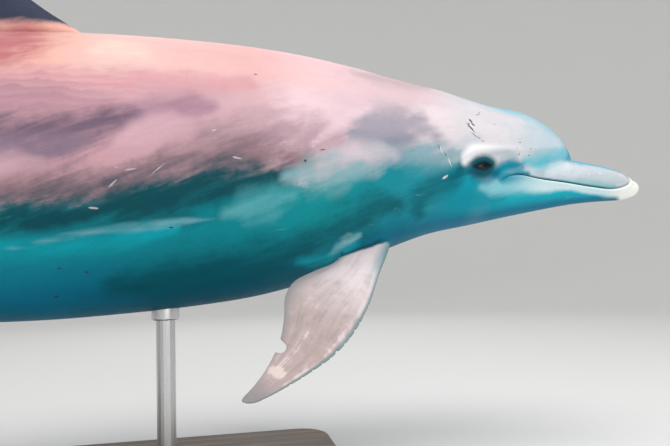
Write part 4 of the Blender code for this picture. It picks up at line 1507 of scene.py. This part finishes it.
def skinMaterial():
    made, shader, start = newMaterial("dolphin_skin", IOR=1.17, Coat_Weight=0.02, Coat_Roughness=0.3)
    on = skinWires(start)
    coat = beakPaint(on, bodyPaint(on))
    coat = facePaint(on, strokePaint(on, coat))
    coat = markPaint(on, finPaint(on, coat))
    ripple = start.maths("SINE", on.angle * 1.7 + on.wander * 6 + on.station * 40) * (on.along + 0.2)
    ripple = ripple * (on.angle + on.wander * 6).near(61.0, 14.0)
    ripple = ripple * on.station.blend("wrinklesStart") * on.station.blend("wrinklesEnd")
    # tone varies the paint at random, and its ripple term darkens and lightens it across the wrinkles as
    # painted shade of their folds; the ripple also goes into the bump
    tone = 0.75 + 0.14 * on.along + 0.16 * on.wisp + 0.06 * on.blotch + 0.06 * on.fine + 0.09 * ripple
    plug(shader, "Base Color", coat.shade(tone))
    plug(shader, "Roughness", 0.42 + 0.16 * on.cloud + 0.08 * on.along)
    plugBump(shader, on.fine * 0.0002 + on.hair * 0.0006 + on.cloud * 0.0012 + ripple * 0.0004)
    return made


def eyeAxes(left):
    # centre of the ball and its axes: backwards, outwards, up
    station = eye["station"]
    angles = np.linspace(0, math.pi, eye["sectionPoints"])
    sides, heights = section(np.full(len(angles), station), angles)
    side = np.interp(-eye["height"], -heights, sides)
    centre = inRow(place(station, left * (side - eye["ballDepth"] / animal["length"]), eye["height"]))
    heading = np.interp(station, midStations, midHeadings)
    nudge = 0.01
    ahead, behind = smoothCurve(animal["flank"], (station - nudge, station + nudge))
    turn = heading - left * math.atan((behind - ahead) / (2 * nudge))
    along = np.array((math.cos(turn), math.sin(turn), 0.0))
    outward = left * np.array((-math.sin(turn), math.cos(turn), 0.0))
    return centre, along, outward, np.array((0.0, 0.0, 1.0))


def eyeBall(name, left):
    mesh = bmesh.new()
    bmesh.ops.create_uvsphere(mesh, u_segments=64, v_segments=40, radius=1.0)
    unit = np.array([vert.co for vert in mesh.verts])  # its pole looks outwards
    tilt = math.radians(eye["tilt"])
    back = unit[:, :1] * math.cos(tilt) - unit[:, 1:2] * math.sin(tilt)
    rise = unit[:, :1] * math.sin(tilt) + unit[:, 1:2] * math.cos(tilt)
    centre, along, outward, up = eyeAxes(left)
    length, depth, tall = eye["ball"]
    points = centre + back * length * along + unit[:, 2:] * depth * outward + rise * tall * up
    made = objectFrom(name, shaped(mesh, points))
    layer = made.data.attributes.new("lens", "FLOAT_VECTOR", "POINT")
    layer.data.foreach_set("vector", unit.astype(np.float32).ravel())
    return made


# Eye paint: the dark outer ball and the iris, each with rays, then the iris's rim and the flat pupil
lens = dict(
    white=((0.020, 0.022, 0.026), (0.050, 0.045, 0.045)),
    iris=((0.008, 0.012, 0.015), (0.026, 0.026, 0.026)),
    rim=(0.008, 0.009, 0.012),
    pupil=(0.001, 0.0012, 0.002),
    irisShape=(1.0, 1.15, 0.0),
    irisEdge=(0.72, 0.66),
    rimPlace=(0.69, 0.05),
    pupilShape=(2.4, 4.4, 0.0),
    pupilEdge=(1.1, 0.95),
)


def eyeMaterial():
    gloss = dict(Roughness=0.28, Coat_Weight=0.12, Coat_Roughness=0.12, IOR=1.30)
    made, shader, start = newMaterial("wet_eye", **gloss)
    ball = start.field("lens")
    rays = ball.scaled((3.0, 3.0, 14.0)).noise(6.0, 5.0, 0.6)
    white = start.colour(lens["white"][0]).over(lens["white"][1], rays.rise(0.45, 0.75))
    iris = start.colour(lens["iris"][0]).over(lens["iris"][1], rays.rise(0.35, 0.70))
    ring = ball.scaled(lens["irisShape"]).length()
    pupil = ball.scaled(lens["pupilShape"]).length()
    colour = white.over(iris, ring.rise(*lens["irisEdge"])).over(lens["rim"], ring.near(*lens["rimPlace"]))
    plug(shader, "Base Color", colour.over(lens["pupil"], pupil.rise(*lens["pupilEdge"])))
    return made


stand = dict(
    screwRing=0.029,
    screwRadius=0.0042,
    screwHeight=0.0016,
    screwCount=3,
    screwTurn=0.25,  # share of the way to the next screw
    screwTaper=0.8,
    socket=0.42,  # rim round the screw's socket, as a share of its radius
    socketDepth=0.8,  # share of the screw's height
    footTop=0.0146,
    collarRadius=0.0235,
    collarHeight=0.018,
    collarRound=0.003,
    collarSunk=0.004,
    collarSteps=5,
    collarTurns=64,
    rodRadius=0.016,
    rodOverlap=0.001,
    sharp=35,  # degrees
    rods=("stand_rod_front", "stand_rod_rear"),
)


def rodFoot(node):
    low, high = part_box(node)
    return Vector(((low[0] + high[0]) / 2, (low[1] + high[1]) / 2, low[2]))


def crisp(name, mesh):
    # an object with its hard edges kept
    bmesh.ops.recalc_face_normals(mesh, faces=mesh.faces)
    made = objectFrom(name, mesh)
    made.data.set_sharp_from_angle(angle=math.radians(stand["sharp"]))
    return made


def quarterArc(x, z, radius, steps):
    # points that curve from the foot of an arc out and up, the first one left out
    for turn in np.linspace(0, math.pi / 2, steps + 1)[1:]:
        yield x + radius * math.sin(turn), z + radius * (1 - math.cos(turn))


def spun(mesh, profile, centre, steps, merge):
    # turns a profile of (radius, height) round an upright axis
    verts = [mesh.verts.new((centre[0] + radius, centre[1], height)) for radius, height in profile]
    edges = [mesh.edges.new(pair) for pair in zip(verts, verts[1:])]
    bmesh.ops.spin(
        mesh, geom=verts + edges, cent=(centre[0], centre[1], 0), axis=(0, 0, 1), angle=2 * math.pi,
        steps=steps, use_merge=True,
    )
    bmesh.ops.remove_doubles(mesh, verts=mesh.verts, dist=merge)


def standScrews():
    # button-headed screws that hold each rod's foot to the base
    mesh = bmesh.new()
    radius = stand["screwRadius"]
    for node in stand["rods"]:
        for i in range(stand["screwCount"]):
            turn = 2 * math.pi * (i + stand["screwTurn"]) / stand["screwCount"]
            ring = Vector((math.cos(turn), math.sin(turn), 0)) * stand["screwRing"]
            seat = rodFoot(node) + ring + Vector((0, 0, stand["footTop"]))
            made = bmesh.ops.create_cone(
                mesh, cap_ends=True, segments=24, radius1=radius, radius2=radius * stand["screwTaper"],
                depth=2 * stand["screwHeight"], matrix=Matrix.Translation(seat),
            )
            faces = {face for vert in made["verts"] for face in vert.link_faces}
            top = max(faces, key=lambda face: face.calc_center_median().z)
            bmesh.ops.inset_individual(mesh, faces=[top], thickness=radius * stand["socket"])
            sunk = stand["screwHeight"] * stand["socketDepth"]
            bmesh.ops.translate(mesh, verts=top.verts, vec=(0, 0, -sunk))
    return crisp("stand_screws", mesh)


def standCollars():
    # a turned collar round the top of each rod, let into the belly
    mesh = bmesh.new()
    bore = stand["rodRadius"] - stand["rodOverlap"]
    radius = stand["collarRadius"]
    bend = stand["collarRound"]
    for node, station in zip(stand["rods"], animal["rods"]):
        belly = float(inRow(place(station, 0.0, float(smoothCurve(animal["belly"], station))))[2])
        low = belly - stand["collarHeight"]
        high = belly + stand["collarSunk"]
        arc = quarterArc(radius - bend, low, bend, stand["collarSteps"])
        profile = [(bore, low), (radius - bend, low), *arc, (radius, high), (bore, high)]
        spun(mesh, profile, rodFoot(node), stand["collarTurns"], 1e-6)
    bmesh.ops.holes_fill(mesh, edges=[e for e in mesh.edges if e.is_boundary], sides=0)
    return crisp("stand_collars", mesh)


wood = dict(
    dark=(0.085, 0.042, 0.022),
    light=(0.235, 0.130, 0.068),
    pore=(0.045, 0.022, 0.012),
    rings=22.0,
)

metal = dict(dark=(0.56, 0.56, 0.57), light=(0.68, 0.68, 0.68))


def walnutMaterial():
    made, shader, start = newMaterial("oiled_walnut", Coat_Weight=0.12, Coat_Roughness=0.2, IOR=1.5)
    spot = start.objectPlace()
    bend = spot.scaled((1.1, 2.2, 2.2)).noise(1.6, 3.0)
    grain = spot.scaled((0.5, 17.0, 17.0)).noise(1.3, 4.0, 0.6, 0.4) + bend * 0.8
    rings = start.maths("SINE", grain * wood["rings"])
    pores = spot.scaled((9.0, 420.0, 420.0)).noise(1.0, 3.0, 0.6)
    colour = start.colour(wood["dark"]).over(wood["light"], (rings * 0.5 + 0.5) * 0.8)
    plug(shader, "Base Color", colour.over(wood["pore"], pores.rise(0.56, 0.70) * 0.7))
    plug(shader, "Roughness", 0.36 + 0.18 * pores)
    plugBump(shader, rings * 0.00006 - pores.rise(0.5, 0.7) * 0.00016)
    return made


def steelMaterial():
    made, shader, start = newMaterial("brushed_steel", Metallic=1.0)
    spot = start.objectPlace()
    brushed = spot.scaled((60.0, 60.0, 900.0)).noise(1.0, 3.0, 0.6)
    cloud = spot.noise(14.0, 3.0)
    plug(shader, "Base Color", start.colour(metal["dark"]).over(metal["light"], brushed))
    plug(shader, "Roughness", 0.24 + 0.14 * brushed + 0.08 * cloud)
    plugBump(shader, brushed * 0.00005)
    return made


stage = dict(
    radius=4.6,
    bend=2.6,
    bendSteps=16,
    turns=96,
    height=5.0,
    floor=(0.86, 0.86, 0.85),
)


def studioBowl():
    # one seamless floor and wall, turned from a single profile
    mesh = bmesh.new()
    radius = stage["radius"]
    bend = stage["bend"]
    floor = [(0.0, 0.0), (radius / 2, 0.0), (radius, 0.0)]
    arc = quarterArc(radius, 0.0, bend, stage["bendSteps"])
    spun(mesh, [*floor, *arc, (radius + bend, stage["height"])], (0, 0), stage["turns"], 1e-5)
    bmesh.ops.recalc_face_normals(mesh, faces=mesh.faces)
    made = objectFrom("studio_bowl", mesh)
    paper, shader, _ = newMaterial("backdrop_paper", Roughness=0.9)
    shader.inputs["Base Color"].default_value = (*stage["floor"], 1.0)
    made.data.materials.append(paper)


lights = dict(
    key=dict(at=(0.5, -1.3, 3.6), aim=(0.1, 0.0, 0.5), size=2.6, energy=70.0),
    fill=dict(at=(1.5, -3.6, 1.4), aim=(0.4, 0.0, 0.5), size=3.0, energy=44.0),
    rim=dict(at=(0.6, 3.4, 3.0), aim=(0.1, 0.0, 0.6), size=2.4, energy=22.0),
    sky=0.50,
)


def studioLights():
    for name in ("key", "fill", "rim"):
        values = lights[name]
        lamp = bpy.data.lights.new(name, "AREA")
        lamp.shape = "DISK"
        lamp.size = values["size"]
        lamp.energy = values["energy"]
        made = bpy.data.objects.new(name, lamp)
        made.location = values["at"]
        aim = Vector(values["aim"]) - Vector(values["at"])
        made.rotation_euler = aim.to_track_quat("-Z", "Y").to_euler()
        bpy.context.collection.objects.link(made)
    world = bpy.data.worlds.new("soft_sky")
    world.use_nodes = True
    sky = world.node_tree.nodes["Background"]
    sky.inputs["Color"].default_value = (1.0, 1.0, 1.0, 1.0)
    sky.inputs["Strength"].default_value = lights["sky"]
    bpy.context.scene.world = world


view = dict(
    offset=(-0.0769, -1.1326, -0.1853),  # metres from the shoulder
    turn=10.6,  # degrees
    rise=4.65,
    roll=-1.86,
    lens=33.79,  # millimetres
    sensor=36.0,
)


def studioCamera():
    data = bpy.data.cameras.new("camera")
    data.lens = view["lens"]
    data.sensor_width = view["sensor"]
    made = bpy.data.objects.new("camera", data)
    turned = (
        Matrix.Rotation(math.radians(-view["turn"]), 4, "Z")
        @ Matrix.Rotation(math.radians(90 + view["rise"]), 4, "X")
        @ Matrix.Rotation(math.radians(view["roll"]), 4, "Z")
    )
    made.matrix_world = Matrix.Translation(shoulderPoint + np.array(view["offset"])) @ turned
    bpy.context.collection.objects.link(made)
    bpy.context.scene.camera = made


fleshNodes = (
    "head", "upper_jaw", "lower_jaw", "chest", "trunk", "tail_stock", "flipper_right", "flipper_left",
    "dorsal_fin", "fluke_right", "fluke_left",
)


def main():
    studioCamera()
    studioLights()
    studioBowl()
    bpy.context.scene.view_settings.view_transform = "Standard"
    print("camera, lights and stage set")

    skin = wholeSkin()
    softenRoots(skin)
    storeFields(skin)
    skin.data.materials.append(skinMaterial())
    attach(skin, "root")
    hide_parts(*fleshNodes)
    print("skin made,", len(skin.data.polygons), "faces")

    wet = eyeMaterial()
    for name, left in (("eye_right", -1), ("eye_left", 1)):
        ball = eyeBall(name + "_ball", left)
        ball.data.materials.append(wet)
        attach(ball, "root")
        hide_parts(name)
    print("eyes made")

    steel = steelMaterial()
    walnut = walnutMaterial()
    for piece in (standScrews(), standCollars()):
        piece.data.materials.append(steel)
        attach(piece, "root")
    for node in ("stand_base", *stand["rods"]):
        for slot in bpy.data.objects[node].material_slots:
            slot.material = walnut if node == "stand_base" else steel
    print("stand finished")


main()
